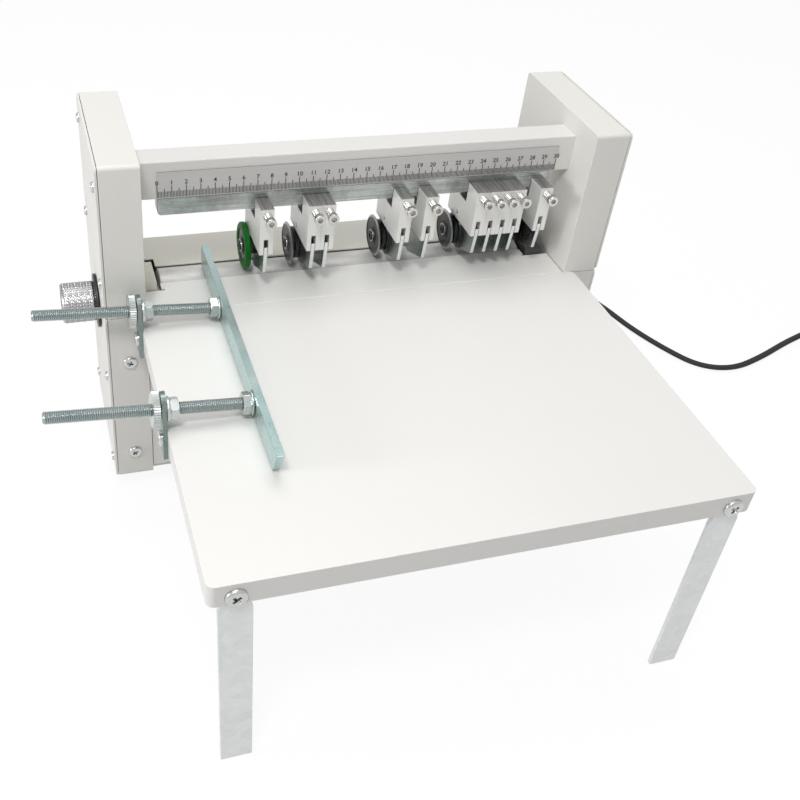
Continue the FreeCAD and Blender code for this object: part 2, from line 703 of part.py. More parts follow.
# bearing rings and end blocks
rings = body("roller_bearings")
bore = S.shaft_radius + S.running_gap
for start in (inner_left - S.bearing_width, inner_right):
    pad(rings, "YZ_Plane", start, S.bearing_width, [],
        [(S.roller_axis_y, S.roller_axis_z, S.bearing_radius),
         (S.roller_axis_y, S.roller_axis_z, bore)])
blocks = body("roller_end_blocks")
left_block = inner_left + S.left_block_gap
right_block_end = inner_right - S.right_block_gap
right_block = right_block_end - S.right_block_width
through = S.shaft_radius + S.free_gap
for start, length, boss_start, boss in (
        (left_block, S.left_block_width, inner_left, S.left_block_gap),
        (right_block, S.right_block_width, right_block_end, S.right_block_gap)):
    pad(blocks, "YZ_Plane", start, length,
        [rectangle(S.block_front, S.block_rear, S.end_block_bottom, S.block_top)])
    pad(blocks, "YZ_Plane", boss_start, boss, [],
        [(S.roller_axis_y, S.roller_axis_z, S.bearing_radius + 2)])
pocket(blocks, "YZ_Plane", inner_left - 1, inner_right - inner_left + 2, [],
       [(S.roller_axis_y, S.roller_axis_z, through)])
round_edges(blocks, S.block_corner,
            lambda edge, box: box.XLength > 5 and flat_in(box, "z", S.block_top))

# driven roller on its shaft, with the hand knob and the gear
knob_right = -cover_reach - S.knob_gap
knob_left = knob_right - S.knob_flange_wall - S.knob_length
roller_right = S.roller_left + S.roller_length
gear_left = inner_right + S.gear_inset
gear_right = gear_left + S.gear_width
roller = body("feed_roller")
turn_x(roller, S.roller_axis_y, S.roller_axis_z, [
    (knob_left + 6, 0), (knob_left + 6, S.shaft_radius), (S.roller_left, S.shaft_radius),
    (S.roller_left, S.roller_radius - 0.6), (S.roller_left + 0.6, S.roller_radius),
    (roller_right - 0.6, S.roller_radius), (roller_right, S.roller_radius - 0.6),
    (roller_right, S.shaft_radius), (gear_right + 2, S.shaft_radius), (gear_right + 2, 0)])
knob = body("hand_knob")
knob_bore = S.shaft_radius + S.running_gap
flange_left = knob_right - S.knob_flange_wall
turn_x(knob, S.roller_axis_y, S.roller_axis_z, [
    (knob_left, 0), (knob_left, S.knob_radius * 0.55), (knob_left + 1, S.knob_radius * 0.6),
    (knob_left + 1, S.knob_radius - 1.5), (knob_left + 2.5, S.knob_radius),
    (flange_left - 1, S.knob_radius), (flange_left, S.knob_radius - 1),
    (flange_left, S.knob_flange - 0.6), (flange_left + 0.6, S.knob_flange),
    (knob_right, S.knob_flange), (knob_right, knob_bore),
    (knob_left + 6, knob_bore), (knob_left + 6, 0)])


def gear(label, x, z, teeth, bore_radius, turned):
    """A spur gear about X with one tooth drawn and repeated round its axis."""
    item = body(label, x, S.roller_axis_y, z, V(1, 0, 0), turned)
    pitch = S.gear_module * teeth / 2
    root = pitch - S.tooth_root
    rings_drawn = [(0, 0, root)]
    if bore_radius is not None:
        rings_drawn.append((0, 0, bore_radius))
    pad(item, "YZ_Plane", 0, S.gear_width, [], rings_drawn)
    tooth = pad(item, "YZ_Plane", 0, S.gear_width, [[
        (-S.tooth_foot / 2, -root + 0.6), (S.tooth_foot / 2, -root + 0.6),
        (S.tooth_foot / 2, -root), (S.tooth_foot * 0.36, -pitch),
        (S.tooth_tip / 2, -pitch - S.tooth_rise), (-S.tooth_tip / 2, -pitch - S.tooth_rise),
        (-S.tooth_foot * 0.36, -pitch), (-S.tooth_foot / 2, -root)]])
    pattern = item.newObject("PartDesign::PolarPattern", "teeth")
    pattern.Originals = [tooth]
    pattern.Axis = (origin(item, "X_Axis"), [""])
    pattern.Angle = 360
    drive(pattern, "Occurrences", teeth)
    item.Tip = pattern
    features.append(pattern)
    return item


roller_gear = gear("roller_gear", gear_left, S.roller_axis_z, S.gear_teeth,
                   S.shaft_radius + S.running_gap, 0 * S.gear_teeth)
motor_gear = gear("motor_gear", gear_left, pinion_z, S.pinion_teeth, None,
                  180 + 180 / S.pinion_teeth)
pad(motor_gear, "YZ_Plane", -S.gear_inset - 8, S.gear_inset + 8 + S.gear_width + 1, [],
    [(0, 0, S.motor_shaft)])
motor = body("drive_motor")
half_flange = S.flange_size / 2
motor_right = inner_right - S.flange_wall
motor_bore = S.motor_shaft + S.running_gap
pad(motor, "YZ_Plane", motor_right, S.flange_wall,
    [rectangle(S.roller_axis_y - half_flange, S.roller_axis_y + half_flange,
               pinion_z - half_flange, pinion_z + half_flange)])
pad(motor, "YZ_Plane", motor_right - S.motor_length, S.motor_length, [],
    [(S.roller_axis_y, pinion_z, S.motor_radius)])
pocket(motor, "YZ_Plane", inner_right - 9, 9, [], [(S.roller_axis_y, pinion_z, motor_bore)])

# infeed table: a folded tray with four lips
table = body("infeed_table")
table_low = S.table_height - S.table_lip
pad(table, "XY_Plane", table_low, S.table_lip,
    [rectangle(S.table_left, table_right, -S.table_depth, 0)])
round_edges(table, S.table_corner, lambda edge, box: box.ZLength > 10)
pocket(table, "XY_Plane", table_low, S.table_lip - S.table_wall,
       [rectangle(S.table_left + S.table_wall, table_right - S.table_wall,
                  -S.table_depth + S.table_wall, -S.table_wall)])
pocket(table, "XZ_Plane", -S.table_depth, S.table_wall, [],
       [(S.left_leg_x, leg_pivot, S.pivot_radius + S.running_gap),
        (right_leg_at, leg_pivot, S.pivot_radius + S.running_gap)])
pocket(table, "YZ_Plane", S.table_left, S.table_wall, [],
       [(-S.rod_rear_y, S.bracket_screw_z, S.screw_shank + S.running_gap),
        (-S.rod_front_y, S.bracket_screw_z, S.screw_shank + S.running_gap)])


def leg(label, x, tilt):
    """A flat bar hanging from its pivot, narrowed and rounded at the top."""
    item = body(label, x, 0.0, leg_pivot, V(0, 1, 0), -tilt)
    half = S.leg_width / 2
    length = (leg_pivot - half * sine(tilt)) / cosine(tilt)
    front = lip_face + S.table_wall + S.leg_gap
    near = S.leg_top * 0.7071
    far = S.leg_top
    pad(item, "XZ_Plane", front, S.leg_wall, [[
        (-half, -length), (half, -length), (half, -S.leg_shoulder), (far, -near),
        (far * 0.95, near * 0.4), (near, near), (near * 0.4, far * 0.95),
        (-near * 0.4, far * 0.95), (-near, near), (-far * 0.95, near * 0.4),
        (-far, -near), (-half, -S.leg_shoulder)]],
        [(0, 0, S.pivot_radius + S.running_gap)])
    return item


left_leg = leg("left_leg", S.left_leg_x, S.left_leg_tilt)
right_leg = leg("right_leg", right_leg_at, S.right_leg_tilt)

# side guide: an upright bar on two threaded rods that rise to the left
guide = body("guide_bar")
pad(guide, "YZ_Plane", S.bar_left, S.bar_wall,
    [[(-S.bar_front + S.bar_cut, S.bar_bottom), (S.bar_rear, S.bar_bottom),
      (S.bar_rear, S.bar_top), (-S.bar_front, S.bar_top)]])
rod_ys = (-S.rod_rear_y, -S.rod_front_y)
tilted = (S.bar_left, 0.0, S.rod_height, V(0, 1, 0), S.rod_tilt)
rods = body("guide_rods", *tilted)
for y in rod_ys:
    turn_x(rods, y, 0.0, [
        (-S.rod_length, 0), (-S.rod_length, S.rod_radius - S.rod_chamfer),
        (-S.rod_length + S.rod_chamfer, S.rod_radius), (S.rod_into_bar, S.rod_radius),
        (S.rod_into_bar, 0)])
socket = sketch(guide, "YZ_Plane", 0.0)
drive(socket, "AttachmentOffset.Base.z", S.bar_left - 1)
for y in rod_ys:
    ring(socket, y, S.rod_height, S.rod_radius + 0.35)
socket_cut = guide.newObject("PartDesign::Pocket", "rod_sockets")
socket_cut.Profile = socket
drive(socket_cut, "Length", S.rod_into_bar + 1.4)
socket_cut.Reversed = True
features.append(socket_cut)


def hexagon(y, z, flats):
    half = flats / 2
    corner = flats * 0.57735
    return [(y, z + corner), (y - half, z + corner / 2), (y - half, z - corner / 2),
            (y, z - corner), (y + half, z - corner / 2), (y + half, z + corner / 2)]


def hex_nut(item, x, y, washer_x):
    """A hex nut on a rod with the washer beside it."""
    bore_radius = S.rod_radius + S.running_gap
    pad(item, "YZ_Plane", x, S.nut_height, [hexagon(y, 0 * S.nut_flats, S.nut_flats)],
        [(y, 0, bore_radius)])
    pad(item, "YZ_Plane", washer_x, S.washer_wall, [],
        [(y, 0, S.washer_radius), (y, 0, bore_radius)])


bar_nuts = body("bar_nuts", *tilted)
washer_skew = S.washer_radius * sine(S.rod_tilt)
bar_washer = -washer_skew - S.washer_wall
for y in rod_ys:
    hex_nut(bar_nuts, bar_washer - S.nut_height, y, bar_washer)
brackets = body("guide_brackets")
reach = S.bracket_wall + S.washer_wall * 2 + S.nut_height
rod_at_bracket = S.rod_height + (S.bar_left - bracket_face - reach / 2) * Size(
    "tan(sizes.rod_tilt * 1 deg)", math.tan(math.radians(number(S.rod_tilt))))
half_bracket = S.bracket_width / 2
for y in rod_ys:
    pad(brackets, "YZ_Plane", bracket_face, S.bracket_wall,
        [[(y - half_bracket, S.bracket_bottom), (y + half_bracket, S.bracket_bottom),
          (y + half_bracket, S.bracket_top - half_bracket * 0.6),
          (y + half_bracket * 0.7, S.bracket_top - half_bracket * 0.2),
          (y + half_bracket * 0.3, S.bracket_top),
          (y - half_bracket * 0.3, S.bracket_top),
          (y - half_bracket * 0.7, S.bracket_top - half_bracket * 0.2),
          (y - half_bracket, S.bracket_top - half_bracket * 0.6)]])
    pad(brackets, "YZ_Plane", S.table_left, S.washer_wall * 2, [],
        [(y, rod_at_bracket, S.washer_radius)])
    pad(brackets, "YZ_Plane", S.table_left + S.washer_wall * 2, S.nut_height,
        [hexagon(y, rod_at_bracket, S.nut_flats)])
    pocket(brackets, "YZ_Plane", bracket_face, S.bracket_wall, [],
           [(y, S.bracket_screw_z, S.screw_shank + S.running_gap)])
for y in rod_ys:
    pocket(brackets, "YZ_Plane", bracket_face - 1, reach + 2, [],
           [(y, rod_at_bracket, S.rod_radius + S.free_gap)])


def thumb_nut(label, y):
    """A knurled disc with a short collar that faces its bracket."""
    item = body(label, *tilted)
    skew = S.thumb_collar * sine(S.rod_tilt) + S.thumb_gap
    end = (bracket_face - skew - S.bar_left) / cosine(S.rod_tilt)
    collar = end - 0.6
    start = collar - S.thumb_width
    bore_radius = S.rod_radius + S.running_gap
    turn_x(item, y, 0.0, [
        (start, bore_radius), (start, S.thumb_radius - 0.5),
        (start + 0.5, S.thumb_radius), (collar - 0.5, S.thumb_radius),
        (collar, S.thumb_radius - 0.5), (collar, S.thumb_collar),
        (end, S.thumb_collar), (end, bore_radius)])
    return item


rear_thumb = thumb_nut("rear_thumb_nut", -S.rod_rear_y)
front_thumb = thumb_nut("front_thumb_nut", -S.rod_front_y)

# six sets of tool holders on the rail: one, two, one, one, four and one
sets = [(S.holder_1, 1), (S.holder_2, 2), (S.holder_3, 1),
        (S.holder_4, 1), (S.holder_5, 4), (S.holder_6, 1)]
channel_front = rail_front - S.rail_play
channel_rear = rail_front + S.rail_depth + S.rail_play
arm_low = S.roller_axis_z + S.roller_radius + 5.3
wheel_axles = {
    1: axle_low + S.tyre_radius,
    2: axle_low + S.crease_radius,
    3: axle_low + S.crease_radius,
    5: axle_low + S.crease_radius,
    6: axle_low + S.feed_radius,
}
for index, (left, count) in enumerate(sets, 1):
    holders = body("tool_block_%d" % index)
    lefts = [left + i * S.holder_pitch for i in range(count)]
    for x in lefts:
        pad(holders, "YZ_Plane", x, S.holder_width, [[
            (S.holder_front, S.holder_bottom), (S.holder_rear, S.holder_bottom),
            (S.holder_rear, S.holder_top), (channel_rear, S.holder_top),
            (channel_rear, S.holder_floor), (channel_front, S.holder_floor),
            (channel_front, S.holder_top), (S.holder_front, S.holder_top)]])
        pocket(holders, "YZ_Plane", x + S.arm_slot_left, S.arm_slot_width,
               [rectangle(S.holder_front - 1, S.holder_rear + 1, S.holder_bottom - 1,
                          S.arm_slot_top)])
        pad(holders, "YZ_Plane", x + S.arm_slot_left, S.arm_slot_width, [],
            [(S.pin_y, S.pin_z, S.pin_radius)])
        pocket(holders, "YZ_Plane", x, S.arm_slot_left, [],
               [(S.side_hole_y, S.side_hole_z, S.side_hole_radius)])
        pocket(holders, "XZ_Plane", S.holder_front - 1, channel_front - S.holder_front + 2,
               [], [(x + S.clamp_x, S.clamp_z, S.clamp_radius + S.running_gap)])

    clamps = body("clamp_screws_%d" % index)
    head_rear = S.holder_front - S.clamp_stand
    head_front = head_rear - S.clamp_head_length
    for x in lefts:
        middle = x + S.clamp_x
        pad(clamps, "XZ_Plane", head_front, S.clamp_head_length,
            [many_sided(middle, S.clamp_z, S.clamp_head, 12)])
        pad(clamps, "XZ_Plane", head_rear, rail_front - S.clamp_tip_gap - head_rear,
            [many_sided(middle, S.clamp_z, S.clamp_radius, 8)])
        half = S.clamp_socket
        tall = S.clamp_socket * 1.1547
        pocket(clamps, "XZ_Plane", head_front, S.clamp_socket_depth, [[
            (middle, S.clamp_z + tall), (middle - half, S.clamp_z + tall / 2),
            (middle - half, S.clamp_z - tall / 2), (middle, S.clamp_z - tall),
            (middle + half, S.clamp_z - tall / 2), (middle + half, S.clamp_z + tall / 2)]])

    arms = body("tool_arm_%d" % index)
    for x in lefts:
        pad(arms, "YZ_Plane", x + S.arm_left, S.arm_wall, [[
            (S.pin_y - 3, S.pin_z + 3), (S.pin_y + 3, S.pin_z + 3),
            (S.holder_rear - 4, S.holder_bottom + 0.5), (S.holder_rear, S.holder_bottom - 4.5),
            (S.holder_rear, arm_low + 7.5), (S.holder_rear - 3, arm_low + 1),
            (S.axle_y - 10.2, arm_low), (S.pin_y - 0.6, arm_low + 10.1),
            (S.pin_y - 3, S.pin_z - 0.3)]],
            [(S.pin_y, S.pin_z, S.pin_radius + S.running_gap)])
    if len(lefts) > 1:
        bridge = lefts[0] + S.arm_left
        pad(arms, "YZ_Plane", bridge, lefts[-1] - lefts[0] + S.arm_wall, [],
            [(S.holder_rear - 4.5, arm_low + 7, 1.5)])
    if index in wheel_axles:
        axle_z = wheel_axles[index]
        wheel_left = S.feed_left if index == 6 else S.wheel_left
        tip = left - wheel_left - S.side_gap
        pad(arms, "YZ_Plane", tip, left + S.arm_left - tip, [],
            [(S.axle_y, axle_z, S.axle_radius)])
        pad(arms, "YZ_Plane", tip - S.axle_head_width, S.axle_head_width, [],
            [(S.axle_y, axle_z, S.axle_head)])

# wheels over the roller, each turned from one profile
wheel_bore = S.axle_radius + S.running_gap
for index in (2, 3, 5):
    left = sets[index - 1][0]
    face = left - S.wheel_left
    rim = face + S.crease_wall
    end = left + S.wheel_right
    disc = end - 0.2 - S.disc_wall
    wheel = body("tool_wheel_%d" % index)
    turn_x(wheel, S.axle_y, wheel_axles[index], [
        (face, wheel_bore), (face, S.hub_radius), (face + 0.5, S.hub_radius + 0.5),
        (face + 0.5, S.crease_radius - 2.5), (face + 0.1, S.crease_radius - 2),
        (face + 0.5, S.crease_radius - 0.5), (face + 1, S.crease_radius),
        (rim, S.crease_radius - 1), (rim, S.hub_radius), (disc, S.hub_radius),
        (disc, S.disc_radius), (disc + S.disc_wall, S.disc_radius),
        (disc + S.disc_wall, S.hub_radius), (end, S.hub_radius), (end, wheel_bore)])
tyre_inner = S.tyre_radius - S.tyre_thickness
left = sets[0][0]
face = left - S.wheel_left
wheel = body("tool_wheel_1")
turn_x(wheel, S.axle_y, wheel_axles[1], [
    (face, wheel_bore), (face, S.hub_radius), (face + 0.6, S.hub_radius + 0.6),
    (face + 0.6, tyre_inner), (face + S.tyre_width - 0.4, tyre_inner),
    (face + S.tyre_width - 0.4, S.hub_radius), (left + S.wheel_right, S.hub_radius),
    (left + S.wheel_right, wheel_bore)])
tyre = body("wheel_1_tyre")
turn_x(tyre, S.axle_y, wheel_axles[1], [
    (face, tyre_inner), (face, S.tyre_radius - 0.8), (face + 0.8, S.tyre_radius),
    (face + S.tyre_width - 0.8, S.tyre_radius),
    (face + S.tyre_width, S.tyre_radius - 0.8), (face + S.tyre_width, tyre_inner)])
left = sets[5][0]
face = left - S.feed_left
wheel = body("tool_wheel_6")
turn_x(wheel, S.axle_y, wheel_axles[6], [
    (face, wheel_bore), (face, S.feed_radius - 1), (face + 1, S.feed_radius),
    (face + S.feed_width - 1, S.feed_radius), (face + S.feed_width, S.feed_radius - 1),
    (face + S.feed_width, S.hub_radius), (left + S.wheel_right, S.hub_radius),
    (left + S.wheel_right, wheel_bore)])

# power switch, strain relief
bezel = body("switch_bezel")
half_outer_x = S.bezel_width / 2
half_outer_z = S.bezel_height / 2
window_x = S.rocker_width / 2 + S.rocker_gap
window_z = S.rocker_height / 2 + S.rocker_gap
window = rectangle(switch_at - window_x, switch_at + window_x,
                   S.switch_z - window_z, S.switch_z + window_z)
pad(bezel, "XZ_Plane", S.housing_depth, S.bezel_wall,
    [rectangle(switch_at - half_outer_x, switch_at + half_outer_x,
               S.switch_z - half_outer_z, S.switch_z + half_outer_z)])
pad(bezel, "XZ_Plane", S.housing_depth - 12, 12,
    [rectangle(switch_at - half_width + 0.1, switch_at + half_width - 0.1,
               S.switch_z - half_height + 0.1, S.switch_z + half_height - 0.1)])
rocker_y = S.housing_depth - 4
pocket(bezel, "XZ_Plane", S.housing_depth - 11, 11 + S.bezel_wall, [window])
pad(bezel, "YZ_Plane", switch_at - window_x, window_x * 2, [],
    [(rocker_y, S.switch_z, 1.2)])
rocker = body("power_switch")
rocker_face = S.housing_depth + S.bezel_wall
rocker_half = S.rocker_height / 2 - 0.6
pad(rocker, "YZ_Plane", switch_at - S.rocker_width / 2, S.rocker_width, [[
    (rocker_y - 3, S.switch_z - 2.5), (rocker_y + 1, S.switch_z - 4.5),
    (rocker_face + S.rocker_low, S.switch_z - rocker_half),
    (rocker_face + S.rocker_crease, S.switch_z),
    (rocker_face + S.rocker_high, S.switch_z + rocker_half - 1.2),
    (rocker_y + 1, S.switch_z + 4.5), (rocker_y - 3, S.switch_z + 2.5)]],
    [(rocker_y, S.switch_z, 1.2 + S.running_gap)])
relief = body("strain_relief")
relief_end = S.housing_depth + S.relief_length
turn_y(relief, relief_at, S.relief_z, [
    (0, S.housing_depth - 6), (S.relief_neck - S.running_gap, S.housing_depth - 6),
    (S.relief_neck - S.running_gap, S.housing_depth),
    (S.relief_flange, S.housing_depth), (S.relief_flange, S.housing_depth + 2.5),
    (S.relief_neck, S.housing_depth + 4), (S.cord_radius + 0.8, relief_end),
    (0, relief_end)])


def placed(label, shape):
    """A sub-part whose shape is made here from the sheet's sizes."""
    item = doc.addObject("Part::Feature", label)
    item.Label = label
    item.Shape = shape
    drive(item, "Placement.Base.x", -origin_x)
    drive(item, "Placement.Base.y", -origin_y)
    nodes.append(item)
    return item


# the mains lead: straight runs joined by tangent arcs, laid on the floor
floor_z = number(S.cord_radius) + 0.2
exit_y = number(relief_end)
right_side = number(S.overall_width)
route = [
    V(number(relief_at), exit_y, number(S.relief_z)),
    V(number(relief_at), exit_y + 18, number(S.relief_z)),
    V(number(relief_at) + 1.5, exit_y + 42, 34),
    V(right_side, 214, 13),
    V(right_side + 26, 236, floor_z),
    V(right_side + 63, 243, floor_z),
    V(right_side + 101, 226, floor_z),
    V(right_side + 129, 196, floor_z),
    V(right_side + 142.5, 160, floor_z),
    V(right_side + 152, 122, floor_z),
    V(right_side + 169, 83, floor_z),
    V(right_side + 188, 52, floor_z),
    V(right_side + 221, 41, floor_z),
    V(right_side + 262, 53, floor_z),
    V(right_side + 303, 70, floor_z),
    V(right_side + 341, 82, floor_z),
    V(right_side + 374, 95, floor_z),
]


def rounded_path(points):
    """Straight runs with an arc at each inner point, and the arcs' radii."""
    edges = []
    radii = []
    last = points[0]
    for i in range(1, len(points) - 1):
        before = points[i - 1] - points[i]
        after = points[i + 1] - points[i]
        angle = before.getAngle(after)
        turn = math.pi - angle
        cut = 0.45 * min(before.Length, after.Length)
        radii.append(cut / math.tan(turn / 2))
        start = points[i] + before * (cut / before.Length)
        end = points[i] + after * (cut / after.Length)
        inward = (before * (1 / before.Length) + after * (1 / after.Length))
        inward = inward * (1 / inward.Length)
        reach_in = radii[-1] / math.cos(turn / 2) - radii[-1]
        edges.append(Part.LineSegment(last, start).toShape())
        edges.append(Part.Arc(start, points[i] + inward * reach_in, end).toShape())
        last = end
    edges.append(Part.LineSegment(last, points[-1]).toShape())
    return Part.Wire(edges), radii


def tube(path, start, way, radius):
    """An eight-sided tube along the path, its corners on the radius."""
    across = V(way.y, -way.x, 0)
    across = across * (radius / across.Length)
    upright = across.cross(way) * (1 / way.Length)
    spots = [start + across * math.cos(math.radians(22.5 + 45 * i))
             + upright * math.sin(math.radians(22.5 + 45 * i)) for i in range(8)]
    section = Part.makePolygon(spots + [spots[0]])
    shell = Part.BRepOffsetAPI.MakePipeShell(path)
    shell.add(section)
    shell.build()
    shell.makeSolid()
    return shell.shape()


cord_radius = number(S.cord_radius)
path, radii = rounded_path(route)
print("lead radii", [round(r, 1) for r in radii])
lead = tube(path, route[0], route[1] - route[0], cord_radius)
section_area = 2 * math.sqrt(2) * cord_radius ** 2
print("lead length %.1f, volume over section times length %.4f"
      % (path.Length, lead.Volume / (section_area * path.Length)))
placed("power_cord", lead)

# the put-away length: two layers of turns that spiral in and out again
heading = route[-1] - route[-2]
heading = heading * (1 / heading.Length)
side = V(heading.y, -heading.x, 0)
outer_turn = number(S.coil_radius)
first = route[-1] + heading * (2 * cord_radius)
centre = first + side * outer_turn
half_turns = int(number(S.coil_half_turns))
stops = []
for k in range(half_turns + 1):
    stops.append((outer_turn - k * number(S.coil_pitch) / 2, 0.0))
for k in range(half_turns + 1):
    radius = outer_turn - (half_turns - k) * number(S.coil_pitch) / 2
    stops.append((radius, number(S.coil_rise)))
coil_edges = [Part.LineSegment(route[-1], first).toShape()]
samples = []
way = -1.0
for k in range(len(stops) - 1):
    a = centre + side * (way * stops[k][0]) + V(0, 0, stops[k][1])
    b = centre - side * (way * stops[k + 1][0]) + V(0, 0, stops[k + 1][1])
    middle = (a + b) * 0.5
    forward = heading * (-way)
    bulge = middle + forward * ((b - a).Length / 2)
    coil_edges.append(Part.Arc(a, bulge, b).toShape())
    for j in range(24):
        angle = math.pi * j / 24
        samples.append(middle + (a - middle) * math.cos(angle)
                       + forward * ((b - a).Length / 2 * math.sin(angle)))
    way = -way
coil_end = b
leave = heading * (-way)
tail = leave * number(S.coil_tail)
coil_edges.append(Part.LineSegment(coil_end, coil_end + tail).toShape())
coil_path = Part.Wire(coil_edges)
coil = tube(coil_path, route[-1], heading, cord_radius)
least = min((samples[i] - samples[j]).Length
            for i in range(len(samples)) for j in range(i + 20, len(samples)))
print("coil length %.1f, least gap to itself %.2f, volume ratio %.4f"
      % (coil_path.Length, least - 2 * cord_radius,
         coil.Volume / (section_area * coil_path.Length)))
placed("cord_coil", coil)

# two-blade plug at the end of the coil
plug_start = coil_end + tail
neck = number(S.plug_neck)
plug_length = number(S.plug_length)
plug_half = number(S.plug_width) / 2
plug_tall = number(S.plug_height) / 2


def plug_section(distance, half_x, half_z):
    corner = min(half_x, half_z) * 0.6
    outline_points = [(-half_x + corner, -half_z), (half_x - corner, -half_z),
                      (half_x, -half_z + corner), (half_x, half_z - corner),
                      (half_x - corner, half_z), (-half_x + corner, half_z),
                      (-half_x, half_z - corner), (-half_x, -half_z + corner)]
    sideways = V(-leave.y, leave.x, 0)
    spots = [plug_start + leave * distance + sideways * u + V(0, 0, w)
             for u, w in outline_points]
    return Part.makePolygon(spots + [spots[0]])


plug = Part.makeLoft([plug_section(0.0, cord_radius + 1, cord_radius + 1),
                      plug_section(neck, plug_half * 0.8, plug_tall * 0.8),
                      plug_section(neck + 3, plug_half, plug_tall),
                      plug_section(plug_length, plug_half, plug_tall * 0.95)], True, True)
sideways = V(-leave.y, leave.x, 0)
for offset in (-number(S.blade_pitch) / 2, number(S.blade_pitch) / 2):
    root = plug_start + leave * (plug_length - 2) + sideways * offset
    half_blade = sideways * (number(S.blade_wall) / 2)
    half_tall = V(0, 0, number(S.blade_width) / 2)
    corners = [root - half_blade - half_tall, root + half_blade - half_tall,
               root + half_blade + half_tall, root - half_blade + half_tall]
    face = Part.Face(Part.makePolygon(corners + [corners[0]]))
    plug = plug.fuse(face.extrude(leave * (number(S.blade_length) + 2)))
placed("mains_plug", plug.removeSplitter())

doc.recompute()
bad = [item.Name for item in doc.Objects if "Invalid" in item.State or "Error" in item.State]
if bad:
    raise RuntimeError("failed features: " + ", ".join(bad))
for feature in features:
    base = getattr(feature, "BaseFeature", None)
    if base is None or base.Shape.isNull():
        continue
    change = feature.Shape.Volume - base.Shape.Volume
    cuts = feature.TypeId in ("PartDesign::Pocket", "PartDesign::Groove")
    grows = feature.TypeId in ("PartDesign::Pad", "PartDesign::Revolution",
                               "PartDesign::PolarPattern")
    if (cuts and change > -0.01) or (grows and change < 0.01):
        raise RuntimeError("%s of %s changed nothing" % (feature.Name, base.Name))
for item in nodes:
    if item.Shape.isNull() or not item.Shape.isValid():
        raise RuntimeError(item.Label + " is not a sound shape")
for item in nodes:
    item.Shape.exportStep("parts/%s.step" % item.Label)
print(len(nodes), "nodes written")
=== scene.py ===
import json
import math
import random

import bmesh
import bpy
from mathutils import Matrix, Vector


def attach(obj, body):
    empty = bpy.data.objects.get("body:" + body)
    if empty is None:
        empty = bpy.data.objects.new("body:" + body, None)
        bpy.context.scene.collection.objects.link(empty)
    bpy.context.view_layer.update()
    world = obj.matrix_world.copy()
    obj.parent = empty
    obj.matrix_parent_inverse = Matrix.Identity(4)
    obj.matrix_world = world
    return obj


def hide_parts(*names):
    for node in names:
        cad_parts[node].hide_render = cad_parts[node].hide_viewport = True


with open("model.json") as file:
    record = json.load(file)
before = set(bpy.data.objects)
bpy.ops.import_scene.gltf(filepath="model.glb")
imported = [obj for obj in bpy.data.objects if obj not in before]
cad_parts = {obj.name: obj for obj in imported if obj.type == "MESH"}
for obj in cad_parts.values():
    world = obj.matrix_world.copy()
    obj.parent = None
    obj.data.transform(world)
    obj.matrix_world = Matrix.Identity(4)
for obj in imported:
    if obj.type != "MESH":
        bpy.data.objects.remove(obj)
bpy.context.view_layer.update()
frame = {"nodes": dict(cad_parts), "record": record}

CAD = frame["nodes"]
random.seed(7)

# The machine's own frame in millimetres: X from the left housing's outer
# face, Y from the housings' front faces, Z from the floor.
ORIGIN_X = 167.0876
ORIGIN_Y = -63.8
MM = 0.001


def spot(x, y, z):
    """A place in the machine's frame, in metres in the model's frame."""
    return Vector(((x - ORIGIN_X) / 1000, (y - ORIGIN_Y) / 1000, z / 1000))


def place_new(name, data):
    """A new object with that data, linked to the scene."""
    item = bpy.data.objects.new(name, data)
    bpy.context.scene.collection.objects.link(item)
    return item


# ---------------------------------------------------------------- places

AXLE_Y = 50.2  # the roller's and the wheels' axes, behind the housings' front
KNOB_Z = 151.7  # height of the roller's axis
ROD_YS = (-14.3, -118.7)  # the side guide's two rods, rear and front
ROD_Z = 180  # the rods' height where they leave the guide bar
ROD_TILT = math.radians(3.9)  # the rods rise to the left
ROD_BORE = 4.06 * MM  # radius of a hole that clears a rod
BAR_FACE = 75.7  # X of the guide bar's left face on the rods
BRACKET_FACE = 18.6  # X of the brackets' left face
NUT_SIDE = 21.7  # X of the brackets' right face, where their nuts begin
# Each wheel's number, its holder's left face, how far the arm and the hub
# stand out from that face, and its axle's height.
WHEELS = ((1, 109.7, 4.3, 188.8), (2, 144.6, 4.3, 187.5), (3, 213.3, 4.3, 187.5),
          (5, 273.1, 4.3, 187.5), (6, 324.8, 9.5, 187.5))
TURNED_WHEELS = WHEELS[:4]

# ---------------------------------------------------------------- camera

PHOTO_SIDE = 800  # the photograph's width and height in pixels
SENSOR = 36
FOCAL_PIXELS = 1016.03
AXIS_U, AXIS_V = 329.82, 370.73  # the pixel that the lens points at
EYE = (-43.606, -587.937, 591.226)


def set_camera():
    """The camera that was fitted to the ruler and the housings."""
    yaw, pitch, roll = 0.34418, 0.66805, 0.09606
    ahead = Vector((math.sin(yaw) * math.cos(pitch), math.cos(yaw) * math.cos(pitch),
                    -math.sin(pitch)))
    right = Vector((math.cos(yaw), -math.sin(yaw), 0))
    up = right.cross(ahead)
    right = right * math.cos(roll) + up * math.sin(roll)
    up = right.cross(ahead)
    data = bpy.data.cameras.new("camera")
    data.sensor_width = SENSOR
    data.lens = FOCAL_PIXELS * SENSOR / PHOTO_SIDE
    data.shift_x = (PHOTO_SIDE / 2 - AXIS_U) / PHOTO_SIDE
    data.shift_y = (AXIS_V - PHOTO_SIDE / 2) / PHOTO_SIDE
    data.clip_start = 0.01
    camera = place_new("camera", data)
    turn = Matrix((right, up, -ahead)).transposed()
    camera.matrix_world = Matrix.Translation(spot(*EYE)) @ turn.to_4x4()
    bpy.context.scene.camera = camera


set_camera()

# ---------------------------------------------------------------- shader maths


